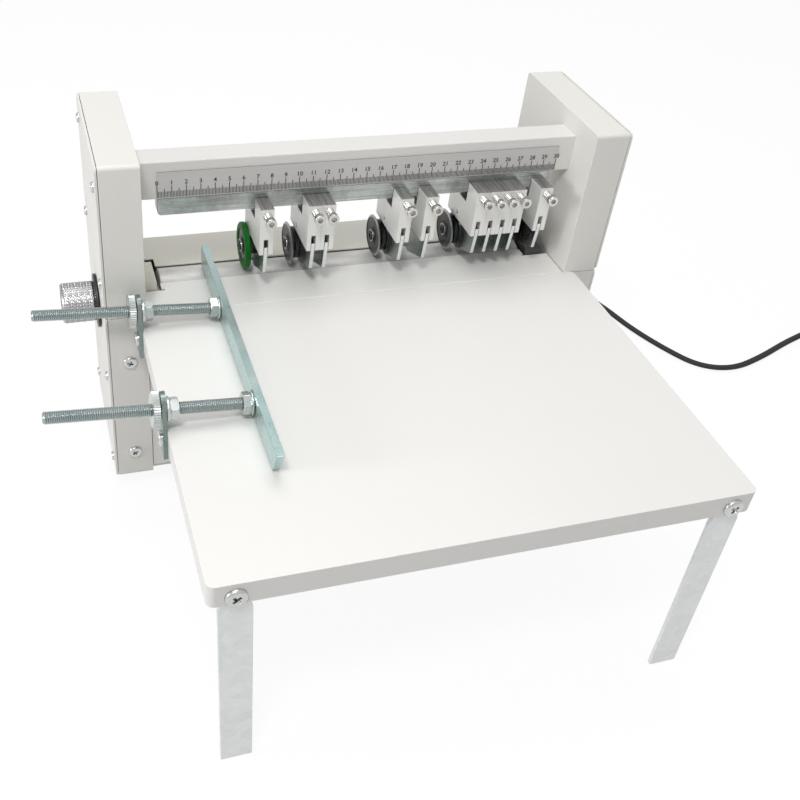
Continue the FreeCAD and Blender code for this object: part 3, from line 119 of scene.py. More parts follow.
class Wire:
    """A socket that can be used in arithmetic."""

    def __init__(self, finish, socket):
        self.finish = finish
        self.socket = socket

    def sum_with(self, how, *others, clamp=False):
        node = self.finish.tree.nodes.new("ShaderNodeMath")
        node.operation = how
        node.use_clamp = clamp
        for i, value in enumerate((self,) + others):
            self.finish.feed(node.inputs[i], value)
        return Wire(self.finish, node.outputs[0])

    def __add__(self, other):
        return self.sum_with("ADD", other)

    __radd__ = __add__

    def __sub__(self, other):
        return self.sum_with("SUBTRACT", other)

    def __mul__(self, other):
        return self.sum_with("MULTIPLY", other)

    def __pow__(self, other):
        return self.sum_with("POWER", other)

    def __gt__(self, other):
        return self.sum_with("GREATER_THAN", other)

    def __lt__(self, other):
        return self.sum_with("LESS_THAN", other)

    def clipped(self):
        return self.sum_with("ADD", 0.0, clamp=True)


class Finish:
    """One procedural material on Object coordinates."""

    def __init__(self, name):
        self.material = bpy.data.materials.new(name)
        self.material.use_nodes = True
        self.tree = self.material.node_tree
        self.shader = self.tree.nodes["Principled BSDF"]
        self.where = self.node("ShaderNodeTexCoord", {}, {}, "Object")

    def feed(self, socket, value):
        """Link a wire to the socket, or set its number or colour."""
        if isinstance(value, Wire):
            self.tree.links.new(value.socket, socket)
        elif isinstance(value, (tuple, list)):
            want = len(socket.default_value)
            socket.default_value = (tuple(value) + (1.0,))[:want]
        else:
            socket.default_value = value

    def node(self, kind, settings, inputs, output=0):
        item = self.tree.nodes.new(kind)
        for name, value in settings.items():
            setattr(item, name, value)
        for name, value in inputs.items():
            self.feed(item.inputs[name], value)
        return Wire(self, item.outputs[output])

    def place(self, scale, shift=(0, 0, 0)):
        """Object coordinates, stretched and shifted."""
        return self.node("ShaderNodeMapping", {}, {
            "Vector": self.where, "Scale": scale, "Location": shift})

    def noise(self, scale, detail=3.0, rough=0.5, where=None):
        return self.node("ShaderNodeTexNoise", {}, {
            "Vector": where or self.where, "Scale": scale, "Detail": detail,
            "Roughness": rough})

    def stretched(self, scale, detail, rough):
        """Noise that is drawn out along the axes with a small scale."""
        return self.noise(1.0, detail, rough, self.place(scale))

    def rings(self, along, detail):
        """Noise in one dimension, for the marks of a lathe."""
        return self.node("ShaderNodeTexNoise", {"noise_dimensions": "1D"}, {
            "W": along, "Scale": 1.0, "Detail": detail})

    def cells(self, scale, where=None):
        """One channel of each angular cell's own colour."""
        colour = self.node("ShaderNodeTexVoronoi", {"feature": "F1"}, {
            "Vector": where or self.where, "Scale": scale}, "Color")
        return self.node("ShaderNodeSeparateColor", {}, {"Color": colour})

    def grade(self, value, low, high):
        """A ramp from 0 at low to 1 at high."""
        item = self.tree.nodes.new("ShaderNodeValToRGB")
        for element, place, tone in zip(item.color_ramp.elements, (low, high), (0.0, 1.0)):
            element.position = place
            element.color = (tone, tone, tone, 1)
        self.feed(item.inputs["Fac"], value)
        return Wire(self, item.outputs[0])

    def blend(self, factor, a, b):
        return self.node("ShaderNodeMix", {"data_type": "RGBA"}, {
            "Factor": factor, 6: a, 7: b}, 2)

    def split(self, vector):
        """The X, Y and Z of a vector."""
        item = self.tree.nodes.new("ShaderNodeSeparateXYZ")
        self.feed(item.inputs[0], vector)
        return [Wire(self, item.outputs[i]) for i in range(3)]

    def axes(self):
        return self.split(self.where)

    def facing(self):
        """The X, Y and Z of the surface's normal."""
        return self.split(self.node("ShaderNodeNewGeometry", {}, {}, "Normal"))

    def bump(self, height, depth):
        return self.node("ShaderNodeBump", {}, {
            "Height": height, "Distance": depth, "Strength": 1.0})

    def done(self, colour, rough, metal=0.0, normal=None, **others):
        self.feed(self.shader.inputs["Base Color"], colour)
        self.feed(self.shader.inputs["Roughness"], rough)
        self.feed(self.shader.inputs["Metallic"], metal)
        if normal is not None:
            self.feed(self.shader.inputs["Normal"], normal)
        for name, value in others.items():
            self.feed(self.shader.inputs[name.replace("_", " ")], value)
        return self.material


def shade(colour, factor):
    """The colour made lighter or darker."""
    return tuple(c * factor for c in colour)


# ---------------------------------------------------------------- finishes


def powder_coat(name, colour, rough=0.42):
    """Sprayed powder with a fine orange peel and a faint cloudiness."""
    f = Finish(name)
    cloud = f.noise(9, 3)
    fine = f.noise(1300, 2, 0.6)
    speck = f.noise(420, 2)
    tone = (cloud * 0.6 + speck * 0.25 + 0.08).clipped()
    skin = f.blend(tone, shade(colour, 0.965), shade(colour, 1.02))
    return f.done(skin, rough + (fine - 0.5) * 0.10 + (cloud - 0.5) * 0.08,
                  normal=f.bump(fine + f.noise(500, 1) * 0.6, 0.00005))


def brushed(name, colour, along, rough, depth, contrast, stain=0.0, front=None):
    """Metal with fine scratches along one axis, with stains and, when front is given, a
    painted highlight on the faces that look to the front.
    """
    f = Finish(name)
    stretch = [900.0, 900.0, 900.0]
    stretch["xyz".index(along)] = 14.0
    lines = f.stretched(tuple(stretch), 4, 0.7)
    broad = f.noise(60, 3)
    tone = ((lines - 0.5) * 2.2 + 0.5).clipped()
    base = f.blend(tone, shade(colour, 1 - contrast), shade(colour, 1 + contrast))
    if stain:
        mark = f.grade(f.noise(34, 4, 0.62), 0.45, 0.68)
        base = f.blend(mark * stain, base, shade(colour, 0.45))
    # painted highlight: the faces that look to the front take the bright front colour
    if front:
        base = f.blend(f.facing()[1] < -0.6, base, front)
    return f.done(base, rough + (tone - 0.5) * 0.22 + (broad - 0.5) * 0.18, 1.0,
                  f.bump(lines, depth))


def zinc_plate(name, colour, tinted, amount=0.2):
    """Bright zinc with a blue-green passivation and rolling marks."""
    f = Finish(name)
    cloud = f.noise(45, 3)
    grain = f.stretched((60, 500, 500), 3, 0.65)
    pits = f.grade(f.noise(700, 2), 0.55, 0.72)
    tint = f.blend(cloud, tinted, colour)
    base = f.blend(grain * 0.5 + amount, tint, colour)
    base = f.blend(pits * 0.35, base, (0.2, 0.22, 0.22))
    return f.done(base, 0.24 + (cloud - 0.3) * 0.25 + pits * 0.15, 0.95,
                  f.bump(grain + pits * -0.5, 0.00003))


def galvanised(name):
    """Hot-dip spangle: angular cells that differ a little in tone and gloss."""
    f = Finish(name)
    warp = f.noise(60, 2)
    large = f.cells(130, f.place((1, 1, 1), (0.01, 0.02, 0)))
    small = f.cells(420)
    tone = (large * 0.55 + small * 0.25 + warp * 0.25).clipped()
    base = f.blend(tone, (0.76, 0.80, 0.79), (0.94, 0.96, 0.955))
    streak = f.grade(f.stretched((90, 90, 22), 4, 0.6), 0.5, 0.75)
    base = f.blend(streak * 0.3, base, (0.95, 0.96, 0.96))
    return f.done(base, 0.4 + large * 0.2 + streak * 0.1, 0.3,
                  f.bump(tone + f.noise(900, 2) * 0.5, 0.00004))


def turned(name, height):
    """A dark steel wheel with fine rings, a brighter rim and a black hub."""
    f = Finish(name)
    steel, rim, hub = (0.06, 0.06, 0.061), (0.36, 0.36, 0.36), (0.012, 0.012, 0.013)
    rim_from, hub_to = 14.4 * MM, 6.5 * MM
    y_axis, z_axis = f.axes()[1:]
    centre = spot(0, AXLE_Y, height)
    dy = y_axis - centre.y
    dz = z_axis - centre.z
    radius = (dy * dy + dz * dz) ** 0.5
    rings = f.rings(radius * 2600, 2.0)
    wide = f.noise(70, 3)
    base = f.blend(rings, shade(steel, 0.8), shade(steel, 1.15))
    base = f.blend(radius > rim_from, base, rim)
    base = f.blend(radius < hub_to, base, hub)
    return f.done(base, 0.3 + (rings - 0.5) * 0.2 + (wide - 0.5) * 0.15, 0.9,
                  f.bump(rings, 0.00003))


def ground_roller(name):
    """A ground steel cylinder with faint circumferential marks and wear."""
    f = Finish(name)
    rings = f.rings(f.axes()[0] * 900, 4.0)
    wear = f.grade(f.stretched((40, 120, 120), 3, 0.6), 0.42, 0.7)
    base = f.blend(rings, (0.52, 0.515, 0.50), (0.70, 0.69, 0.67))
    base = f.blend(wear * 0.35, base, (0.36, 0.355, 0.34))
    return f.done(base, 0.42 + (rings - 0.5) * 0.2 + wear * 0.12, 0.35,
                  f.bump(rings, 0.00002))


def moulded(name, colour, rough, grain, depth=0.00003):
    """Moulded plastic or rubber with a fine grain."""
    f = Finish(name)
    fine = f.noise(grain, 3, 0.6)
    wide = f.noise(40, 3)
    base = f.blend((fine * 0.5 + wide * 0.5).clipped(), shade(colour, 0.88),
                   shade(colour, 1.12))
    return f.done(base, rough + (fine - 0.5) * 0.18 + (wide - 0.5) * 0.1,
                  normal=f.bump(fine, depth))


def machined_aluminium(name):
    """Pale milled sides and brushed top faces painted dark as a painted reflection, as on
    the tool holders.
    """
    f = Finish(name)
    upward = f.facing()[2] > 0.6
    milling = f.stretched((800, 26, 800), 4, 0.7)
    cloud = f.noise(110, 3)
    side = f.blend(milling * 0.6 + cloud * 0.4, (0.74, 0.74, 0.72), (0.93, 0.93, 0.91))
    # painted reflection: the upward faces take a dark colour, with the real brushed lines
    # drawn in it
    top = f.blend(((milling - 0.5) * 2.4 + 0.5).clipped(), (0.20, 0.195, 0.19),
                  (0.57, 0.56, 0.54))
    base = f.blend(upward, side, top)
    return f.done(base, 0.42 + (milling - 0.5) * 0.2, 0.35 + upward * 0.5,
                  f.bump(milling, 0.00002))


def ruler_satin(name):
    """Satin anodised strip with faint lengthwise lines."""
    f = Finish(name)
    lines = f.stretched((9, 700, 1400), 3, 0.6)
    cloud = f.noise(18, 2)
    base = f.blend(lines * 0.7 + cloud * 0.3, (0.50, 0.49, 0.48), (0.66, 0.65, 0.64))
    return f.done(base, 0.42 + (lines - 0.5) * 0.15, 0.25, f.bump(lines, 0.00001))


def printed_ink(name):
    """Black print with a fine grain."""
    f = Finish(name)
    grain = f.noise(2200, 2)
    return f.done(f.blend(grain, (0.012, 0.012, 0.013), (0.035, 0.035, 0.037)),
                  0.5 + (grain - 0.5) * 0.2)


def tyre_rubber(name):
    """Deep green rubber, a little cloudy, with little shine."""
    f = Finish(name)
    fine = f.noise(900, 2)
    wide = f.noise(120, 3)
    base = f.blend(fine * 0.4 + wide * 0.6, (0.0, 0.075, 0.004), (0.0, 0.21, 0.012))
    return f.done(base, 0.5 + (fine - 0.5) * 0.2, normal=f.bump(fine, 0.00003),
                  Specular_IOR_Level=0.2)


def two_blocks(name, pale, dark):
    """Moulded end blocks of one pale plastic; the right one is painted dark as painted
    shade.
    """
    f = Finish(name)
    fine = f.noise(600, 3, 0.6)
    wide = f.noise(40, 3)
    # painted shade: every block right of the middle takes the dark colour instead of the
    # pale one
    base = f.blend(f.axes()[0] > 0.0, pale, dark)
    base = f.blend((fine * 0.5 + wide * 0.5) * 0.25, base, (0.3, 0.29, 0.26))
    return f.done(base, 0.5 + (fine - 0.5) * 0.18, normal=f.bump(fine, 0.00003))


PAINT = powder_coat("cream_powder_coat", (0.80, 0.785, 0.745))
TABLE_PAINT = powder_coat("table_powder_coat", (0.83, 0.82, 0.795), 0.38)
BED_PAINT = powder_coat("bed_powder_coat", (0.85, 0.84, 0.815), 0.3)
OUTFEED_PAINT = powder_coat("outfeed_powder_coat", (0.62, 0.605, 0.54), 0.34)
BEAM_PAINT = powder_coat("beam_powder_coat", (0.76, 0.75, 0.72))
RULER = ruler_satin("ruler_satin_metal")
INK = printed_ink("ruler_black_print")
ZINC = zinc_plate("zinc_plate", (0.66, 0.675, 0.655), (0.40, 0.48, 0.47))
THREAD = zinc_plate("threaded_zinc", (0.46, 0.49, 0.485), (0.17, 0.28, 0.28), 0.1)
BAR = zinc_plate("guide_bar_zinc", (0.64, 0.72, 0.71), (0.26, 0.49, 0.48), -0.1)
BRACKET = zinc_plate("bracket_zinc", (0.30, 0.33, 0.315), (0.12, 0.22, 0.21), 0.0)
RAIL = brushed("zinc_rail", (0.47, 0.50, 0.49), "x", 0.26, 0.00004, 0.4, stain=0.9)
SPANGLE = galvanised("galvanised_bar")
HOLDER = machined_aluminium("machined_holders_painted_dark_tops")
CHROME = brushed("bright_screw_steel", (0.66, 0.65, 0.63), "y", 0.16, 0.00001, 0.12)
# the front colour is a painted highlight on the arms' front edges
ARM = brushed("steel_arm_painted_front_highlight", (0.40, 0.45, 0.44), "z", 0.28, 0.00003, 0.25, stain=0.4,
              front=(0.78, 0.81, 0.80))
KNOB = brushed("knurled_aluminium", (0.46, 0.46, 0.46), "x", 0.3, 0.00002, 0.1)
DARK_METAL = brushed("dark_flange", (0.06, 0.06, 0.065), "y", 0.4, 0.00002, 0.2)
ROLLER = ground_roller("ground_roller_steel")
GEAR = brushed("gear_steel", (0.45, 0.45, 0.44), "y", 0.35, 0.00002, 0.15)
MOTOR = powder_coat("motor_black", (0.035, 0.035, 0.037), 0.45)
# the dark colour is painted shade on the right end block, which is the same pale plastic
BLOCKS = two_blocks("end_block_plastic_right_painted_shade", (0.80, 0.77, 0.68), (0.045, 0.046, 0.045))
RUBBER = moulded("black_rubber", (0.018, 0.018, 0.018), 0.75, 1200, 0.00006)
BLACK_PLASTIC = moulded("black_moulding", (0.015, 0.015, 0.016), 0.42, 1400)
CORD = moulded("black_cord_sheath", (0.010, 0.010, 0.010), 0.6, 900, 0.00002)
GREEN = tyre_rubber("green_tyre")
SCREW = brushed("screw_zinc", (0.58, 0.59, 0.58), "z", 0.25, 0.00001, 0.12)

BY_SLOT = {
    "cream_paint": PAINT, "table_paint": TABLE_PAINT, "bed_paint": OUTFEED_PAINT,
    "ruler_metal": RULER, "zinc": ZINC, "galvanised": SPANGLE, "holder_metal": HOLDER,
    "screw_steel": CHROME, "arm_steel": ARM, "wheel_steel": ARM, "green_rubber": GREEN,
    "black_rubber": RUBBER, "roller_steel": ROLLER, "knob_metal": KNOB,
    "block_plastic": BLOCKS, "motor_metal": MOTOR, "black_plastic": BLACK_PLASTIC,
    "cord_plastic": CORD,
}
BY_NODE = {
    "bed_plate": BED_PAINT, "cross_beam": BEAM_PAINT, "guide_bar": BAR,
    "guide_brackets": BRACKET, "clamp_rail": RAIL, "panel_screws": SCREW,
    "roller_gear": GEAR, "motor_gear": GEAR,
}
SLOT = {part["node"]: part["material_slot"] for part in frame["record"]["subparts"]}
BODY = {node: body for body, nodes in frame["record"]["behaviour"]["bodies"].items()
        for node in nodes}


def coat(item, material):
    """Give the object that one material."""
    item.data.materials.clear()
    item.data.materials.append(material)


for node, item in CAD.items():
    coat(item, BY_NODE.get(node, BY_SLOT[SLOT[node]]))
for index, _, _, height in TURNED_WHEELS:
    coat(CAD["tool_wheel_%d" % index], turned("wheel_%d_steel" % index, height))

# ---------------------------------------------------------------- bench tools


def fresh():
    """Leave edit mode and drop the selection."""
    if bpy.context.object and bpy.context.object.mode != "OBJECT":
        bpy.ops.object.mode_set(mode="OBJECT")
    bpy.ops.object.select_all(action="DESELECT")


def pick(*items):
    """Select only these objects, with the last one active."""
    fresh()
    for item in items:
        item.select_set(True)
    bpy.context.view_layer.objects.active = items[-1]


def settle(item):
    """Put the object's place into its mesh."""
    pick(item)
    bpy.ops.object.transform_apply(location=True, rotation=True, scale=True)


def modify(item, kind, **settings):
    """Add a modifier with these settings and apply it."""
    pick(item)
    bpy.ops.object.modifier_add(type=kind)
    change = item.modifiers[-1]
    for name, value in settings.items():
        setattr(change, name, value)
    bpy.ops.object.modifier_apply(modifier=change.name)


def chamfer(item, width, segments):
    """Ease every sharp edge of a small turned or milled piece."""
    modify(item, "BEVEL", width=width, segments=segments, limit_method="ANGLE")


def carve(item, tool, how="DIFFERENCE"):
    """Cut the tool out of the item, or fuse or intersect them, and discard it."""
    modify(item, "BOOLEAN", operation=how, solver="EXACT", object=tool)
    bpy.data.objects.remove(tool)


def smooth(item, degrees):
    """Smooth shading, with a sharp edge where faces meet above this angle."""
    pick(item)
    bpy.ops.object.shade_smooth_by_angle(angle=math.radians(degrees))


def active(name):
    """Name the object that the last operator made."""
    item = bpy.context.object
    item.name = name
    item.data.name = name
    return item


def rod(name, start, end, radius, sides):
    """A capped cylinder between two places."""
    fresh()
    way = end - start
    bpy.ops.mesh.primitive_cylinder_add(
        vertices=sides, radius=radius, depth=way.length, location=(start + end) / 2,
        rotation=way.to_track_quat("Z", "Y").to_euler())
    item = active(name)
    settle(item)
    return item


def post(name, low, high, radius, sides):
    """A rod on the Z axis between two heights."""
    return rod(name, Vector((0, 0, low)), Vector((0, 0, high)), radius, sides)


def puck(name, radius, height, sides):
    """A cylinder that stands on Z = 0, to be worked further."""
    fresh()
    bpy.ops.mesh.primitive_cylinder_add(vertices=sides, radius=radius, depth=height,
                                        location=(0, 0, height / 2))
    item = active(name)
    settle(item)
    return item


def block(name, centre, size):
    """A cuboid, to be worked further."""
    fresh()
    bpy.ops.mesh.primitive_cube_add(size=1, location=centre)
    item = active(name)
    item.scale = size
    settle(item)
    return item


def slab(name, low, high):
    """A cuboid between two corners."""
    return block(name, (low + high) / 2, high - low)


def join(name, items):
    """Make these into one object of that name."""
    pick(*items)
    bpy.ops.object.join()
    return active(name)


def twin(item, name, matrix):
    """A copy with its own mesh, moved by the matrix."""
    other = item.copy()
    other.data = item.data.copy()
    other.name = name
    other.data.name = name
    bpy.context.scene.collection.objects.link(other)
    other.data.transform(matrix)
    return other


def edit_faces(item, chosen):
    """Enter edit mode with the chosen faces selected."""
    pick(item)
    bpy.ops.object.mode_set(mode="EDIT")
    bpy.ops.mesh.select_mode(type="FACE")
    bpy.ops.mesh.select_all(action="DESELECT")
    bpy.ops.object.mode_set(mode="OBJECT")
    for face in item.data.polygons:
        face.select = bool(chosen(face))
    bpy.ops.object.mode_set(mode="EDIT")


def edit_all(item):
    """Enter edit mode with everything selected."""
    pick(item)
    bpy.ops.object.mode_set(mode="EDIT")
    bpy.ops.mesh.select_all(action="SELECT")


def leave_edit():
    bpy.ops.object.mode_set(mode="OBJECT")


def put(item, body, slot, material, *nodes):
    """Give a finished piece its material and body, and hide the nodes it replaces; the slot
    is not used.
    """
    coat(item, material)
    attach(item, body)
    if nodes:
        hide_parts(*nodes)


def spin(angle):
    """A turn about the Z axis."""
    return Matrix.Rotation(angle, 4, "Z")


# Turns that take +Z to the front, the left, the right and the rear.
FRONT = Matrix.Rotation(math.radians(90), 4, "X")
LEFT = Matrix.Rotation(math.radians(-90), 4, "Y")
RIGHT = Matrix.Rotation(math.radians(90), 4, "Y")
REAR = Matrix.Rotation(math.radians(-90), 4, "X")

# ---------------------------------------------------------------- eased pieces


def eased(node, width, angle=28, segments=2):
    """A CAD piece whose sharp edges are eased as on folded or milled metal."""
    source = CAD[node]
    item = source.copy()
    item.data = source.data.copy()
    item.parent = None
    item.name = node + "_eased"
    item.data.name = item.name
    for key in list(item.keys()):
        if key.startswith("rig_"):
            del item[key]
    bpy.context.scene.collection.objects.link(item)
    item.hide_render = False
    edit_all(item)
    bpy.ops.mesh.remove_doubles(threshold=0.000002)
    bpy.ops.mesh.dissolve_limited(angle_limit=math.radians(1.0))
    leave_edit()
    modify(item, "BEVEL", width=width * MM, segments=segments, limit_method="ANGLE",
           angle_limit=math.radians(angle), use_clamp_overlap=True, harden_normals=False,
           miter_outer="MITER_ARC")
    smooth(item, 32)
    modify(item, "WEIGHTED_NORMAL", keep_sharp=True, weight=100)
    put(item, BODY[node], SLOT[node], source.data.materials[0], node)
    return item


def eased_brackets():
    """The brackets without their plain nuts, which bracket_nuts makes again."""
    edit_all(eased("guide_brackets", 0.3))
    bpy.ops.mesh.bisect(plane_co=spot(NUT_SIDE, 0, ROD_Z), plane_no=(1, 0, 0),
                        use_fill=True, clear_outer=True)
    leave_edit()


for node in ("left_upper_housing", "left_lower_housing", "right_upper_housing",
             "right_lower_housing", "left_side_covers", "right_side_covers"):
    eased(node, 0.35)
eased("infeed_table", 0.7, segments=3)
for node in ("bed_plate", "outfeed_plate", "base_plate"):
    eased(node, 0.25)
eased("cross_beam", 0.3)
eased("ruler_plate", 0.12)
eased("clamp_rail", 0.5, segments=3)
eased("roller_end_blocks", 0.5)
eased("guide_bar", 0.35)
eased_brackets()
eased("left_leg", 0.35)
eased("right_leg", 0.35)
for index in range(1, 7):
    eased("tool_block_%d" % index, 0.25, angle=40)
    eased("tool_arm_%d" % index, 0.2, angle=40)
eased("switch_bezel", 0.4)
eased("power_switch", 0.4)

# ---------------------------------------------------------------- ruler print

PRINT_Y = 27.9 - 0.04  # just before the ruler's face
PRINT_WALL = 0.03
RULER_ZERO = 41.0  # X of the mark for 0
RULER_FOOT = 245.9  # height where the marks begin
CENTIMETRES = 31


def print_block(name, left, right, low, high):
    """A printed line or mark on the ruler's face."""
    return slab(name, spot(left, PRINT_Y - PRINT_WALL, low),
                spot(right, PRINT_Y + PRINT_WALL, high))


def ruler_number(number):
    """The number over one of the centimetre marks."""
    fresh()
    bpy.ops.object.text_add(
        location=spot(RULER_ZERO + number * 10.0, PRINT_Y, RULER_FOOT + 9.6),
        rotation=(math.radians(90), 0, 0))
    text = bpy.context.object.data
    text.body = str(number)
    text.size = 4.5 * MM
    text.offset = 0.09 * MM
    text.align_x = "CENTER"
    text.extrude = 0.02 * MM
    text.resolution_u = 3
    bpy.ops.object.convert(target="MESH")
    label = active("number_%d" % number)
    settle(label)
    return label


def ruler_print():
    """Millimetre, half-centimetre and centimetre marks with their numbers."""
    marks = []
    for name, every, count, tall, wide, skip in (
            ("millimetres", 1.0, 301, 4.6, 0.46, 0), ("halves", 10.0, 30, 6.6, 0.5, 5.0),
            ("centimetres", 10.0, CENTIMETRES, 8.8, 0.56, 0)):
        mark = print_block("mark_" + name, RULER_ZERO + skip - wide / 2,
                           RULER_ZERO + skip + wide / 2, RULER_FOOT, RULER_FOOT + tall)
        modify(mark, "ARRAY", count=count, use_relative_offset=False,
               use_constant_offset=True, constant_offset_displace=(every * MM, 0, 0))
        marks.append(mark)
    marks += [ruler_number(number) for number in range(CENTIMETRES)]
    marks.append(print_block("edge_line", RULER_ZERO - 0.1, RULER_ZERO + 300.3,
                             265.05, 265.2))
    put(join("ruler_marks", marks), "frame", "ruler_metal", INK)


ruler_print()

# ---------------------------------------------------------------- cross heads

COVER_SCREWS = ((14, 265), (14, 190), (104, 272), (104, 197), (14, 27), (14, 108),
                (104, 42), (104, 108))
COVER_LEFT, COVER_RIGHT = -1.9, 382.9  # X of the side covers' outer faces
PIVOT_XS = (37.5, 346.5)  # the legs' pivots
PIVOT_Z = 160
LIP_FACE = -249  # Y of the front lip's outer face


def cross_cutter(radius, depth):
    """The tapered cross that a driver leaves in a head, pointing down Z."""
    blades = []
    for turn in (0, 90):
        blade = block("blade", (0, 0, 0), (radius * 1.25, radius * 0.36, depth * 2))
        edit_faces(blade, lambda face: face.normal.z < -0.9)
        bpy.ops.transform.resize(value=(0.45, 0.6, 1), center_override=(0, 0, -depth))
        leave_edit()
        blade.data.transform(spin(math.radians(turn + 45)))
        blades.append(blade)
    carve(blades[0], blades[1], "UNION")
    return blades[0]


def pan_head(name, radius, rise):
    """A domed head with a cross recess, its flat side on Z = 0."""
    head = puck(name, radius, rise, 28)
    edit_faces(head, lambda face: face.normal.z > 0.9)
    bpy.ops.mesh.bevel(offset=rise * 0.72, segments=5, affect="EDGES")
    leave_edit()
    cutter = cross_cutter(radius, rise * 0.92)
    cutter.data.transform(Matrix.Translation((0, 0, rise)))
    carve(head, cutter)
    smooth(head, 40)
    return head


def fit_screws():
    """Pan heads on the covers, the housings' fronts, the lip and the brackets."""
    small = pan_head("small_head", 3.7 * MM, 2.0 * MM)
    middle = pan_head("middle_head", 5.2 * MM, 2.2 * MM)
    large = pan_head("large_head", 6.5 * MM, 3.0 * MM)
    heads = []

    def fit(model, place, facing):
        turn = spin(random.uniform(0, math.pi))
        heads.append(twin(model, "head_%d" % len(heads),
                          Matrix.Translation(place) @ facing @ turn))

    for y, z in COVER_SCREWS:
        fit(small, spot(COVER_LEFT, y, z), LEFT)
        fit(small, spot(COVER_RIGHT, y, z), RIGHT)
    for x in (13.5, 367.5):
        for z in (129.5, 41.6):
            fit(middle, spot(x, 0, z), FRONT)
    for x in PIVOT_XS:
        fit(large, spot(x, LIP_FACE, PIVOT_Z), FRONT)
        for name, start, end, radius, sides in (("pivot", -249.2, -241.5, 3 * MM, 20),
                                                ("nut", -243.9, -240.9, 5.5 * MM, 6)):
            heads.append(rod(name, spot(x, start, PIVOT_Z), spot(x, end, PIVOT_Z), radius,
                             sides))
    for y in ROD_YS:
        fit(middle, spot(BRACKET_FACE, y, 160.5), LEFT)
    for model in (small, middle, large):
        bpy.data.objects.remove(model)
    put(join("cross_head_screws", heads), "frame", "zinc", SCREW, "panel_screws")


fit_screws()

# ---------------------------------------------------------------- side guide

NUT_FLATS = 13 * MM
NUT_HEIGHT = 5.2
WASHER_RADIUS = 8 * MM
WASHER_WALL = 1.2


def thread(name, length, radius, pitch, depth, steps):
    """A screw thread along +Z from the origin, over a plain core."""
    outline = bpy.data.meshes.new(name)
    root = radius - depth
    outline.from_pydata([(root, 0, 0), (radius, 0, pitch * 0.42), (radius, 0, pitch * 0.58),
                         (root, 0, pitch)], [(0, 1), (1, 2), (2, 3)], [])
    item = place_new(name, outline)
    turns = max(1, int(length / pitch) - 1)
    modify(item, "SCREW", axis="Z", steps=steps, render_steps=steps, screw_offset=pitch,
           iterations=turns, use_merge_vertices=True, merge_threshold=0.000001,
           use_normal_calculate=True)
    core = post(name + "_core", 0, length, root * 1.001, steps)
    chamfer(core, depth * 0.8, 1)
    item = join(name, [core, item])
    smooth(item, 50)
    return item


def on_rod(y, along):
    """The turn and place of a piece on a rod, this far from the guide bar's face."""
    return (Matrix.Translation(spot(BAR_FACE, y, ROD_Z))
            @ Matrix.Rotation(ROD_TILT, 4, "Y")
            @ Matrix.Translation((along * MM, 0, 0)) @ RIGHT)


def guide_threads():
    """The two threaded rods of the side guide, rising to the left."""
    model = thread("rod_model", 130.0 * MM, 4.0 * MM, 1.25 * MM, 0.62 * MM, 20)
    rods = [twin(model, "rod_%d" % k, on_rod(y, -126.5)) for k, y in enumerate(ROD_YS)]
    bpy.data.objects.remove(model)
    put(join("threaded_guide_rods", rods), "guide", "zinc", THREAD, "guide_rods")


guide_threads()


def hollow(item, low, high, radius, sides=32):
    """Cut a round or six-sided hole along Z between two heights."""
    carve(item, post("hole", low, high, radius, sides))


def hex_nut(name, flats, height, bore):
    """A chamfered hex nut on Z = 0."""
    corner = flats / math.sqrt(3)
    nut = post(name, 0, height, corner, 6)
    keep = puck("keep", corner * 0.985, height, 48)
    chamfer(keep, height * 0.13, 1)
    carve(nut, keep, "INTERSECT")
    hollow(nut, -height, height * 2, bore)
    smooth(nut, 25)
    return nut


def washer(name, radius, bore, wall):
    """A flat ring on Z = 0."""
    disc = post(name, 0, wall, radius, 40)
    chamfer(disc, wall * 0.25, 2)
    hollow(disc, -wall, wall * 2, bore)
    smooth(disc, 30)
    return disc


def guide_nuts():
    """A nut and washer on each rod beside the bar."""
    pieces = []
    start = -8.0 * math.sin(ROD_TILT) - WASHER_WALL
    for y, angle in zip(ROD_YS, (17, 41)):
        nut = hex_nut("nut", NUT_FLATS, NUT_HEIGHT * MM, ROD_BORE)
        nut.data.transform(on_rod(y, start - NUT_HEIGHT) @ spin(math.radians(angle)))
        ring = washer("washer", WASHER_RADIUS, ROD_BORE, WASHER_WALL * MM)
        ring.data.transform(on_rod(y, start))
        pieces += [nut, ring]
    put(join("guide_bar_nuts", pieces), "guide", "zinc", ZINC, "bar_nuts")


guide_nuts()


def bracket_nuts():
    """The nut and washer that hold each rod's bracket from the right."""
    pieces = []
    bore, wall = 4.5 * MM, 2.3
    middle = ROD_Z + (BAR_FACE - BRACKET_FACE - 5.3) * math.tan(ROD_TILT)
    for y, angle in zip(ROD_YS, (10, 32)):
        ring = washer("washer", WASHER_RADIUS, bore, wall * MM)
        ring.data.transform(Matrix.Translation(spot(NUT_SIDE, y, middle)) @ RIGHT)
        nut = hex_nut("nut", NUT_FLATS, NUT_HEIGHT * MM, bore)
        nut.data.transform(Matrix.Translation(spot(NUT_SIDE + wall, y, middle)) @ RIGHT
                           @ spin(math.radians(angle)))
        pieces += [nut, ring]
    put(join("bracket_nuts", pieces), "frame", "zinc", ZINC)


bracket_nuts()


def ribbed(name, radius, depth, length, ribs, bevel):
    """A disc on Z = 0 with straight ribs round its rim."""
    disc = puck(name, radius, length, ribs * 2)
    for vertex in disc.data.vertices:
        count = round(math.atan2(vertex.co.y, vertex.co.x) / (math.pi / ribs))
        if count % 2:
            vertex.co.x *= (radius - depth) / radius
            vertex.co.y *= (radius - depth) / radius
    edit_faces(disc, lambda face: abs(face.normal.z) > 0.9)
    bpy.ops.mesh.inset(thickness=bevel, use_boundary=True)
    leave_edit()
    rim = max(radius - depth - 0.0001 * MM, radius - bevel * 0.5)
    for vertex in disc.data.vertices:
        if math.hypot(vertex.co.x, vertex.co.y) > rim:
            way = 1 if vertex.co.z > length / 2 else -1
            vertex.co.z -= way * bevel * 0.8
    return disc


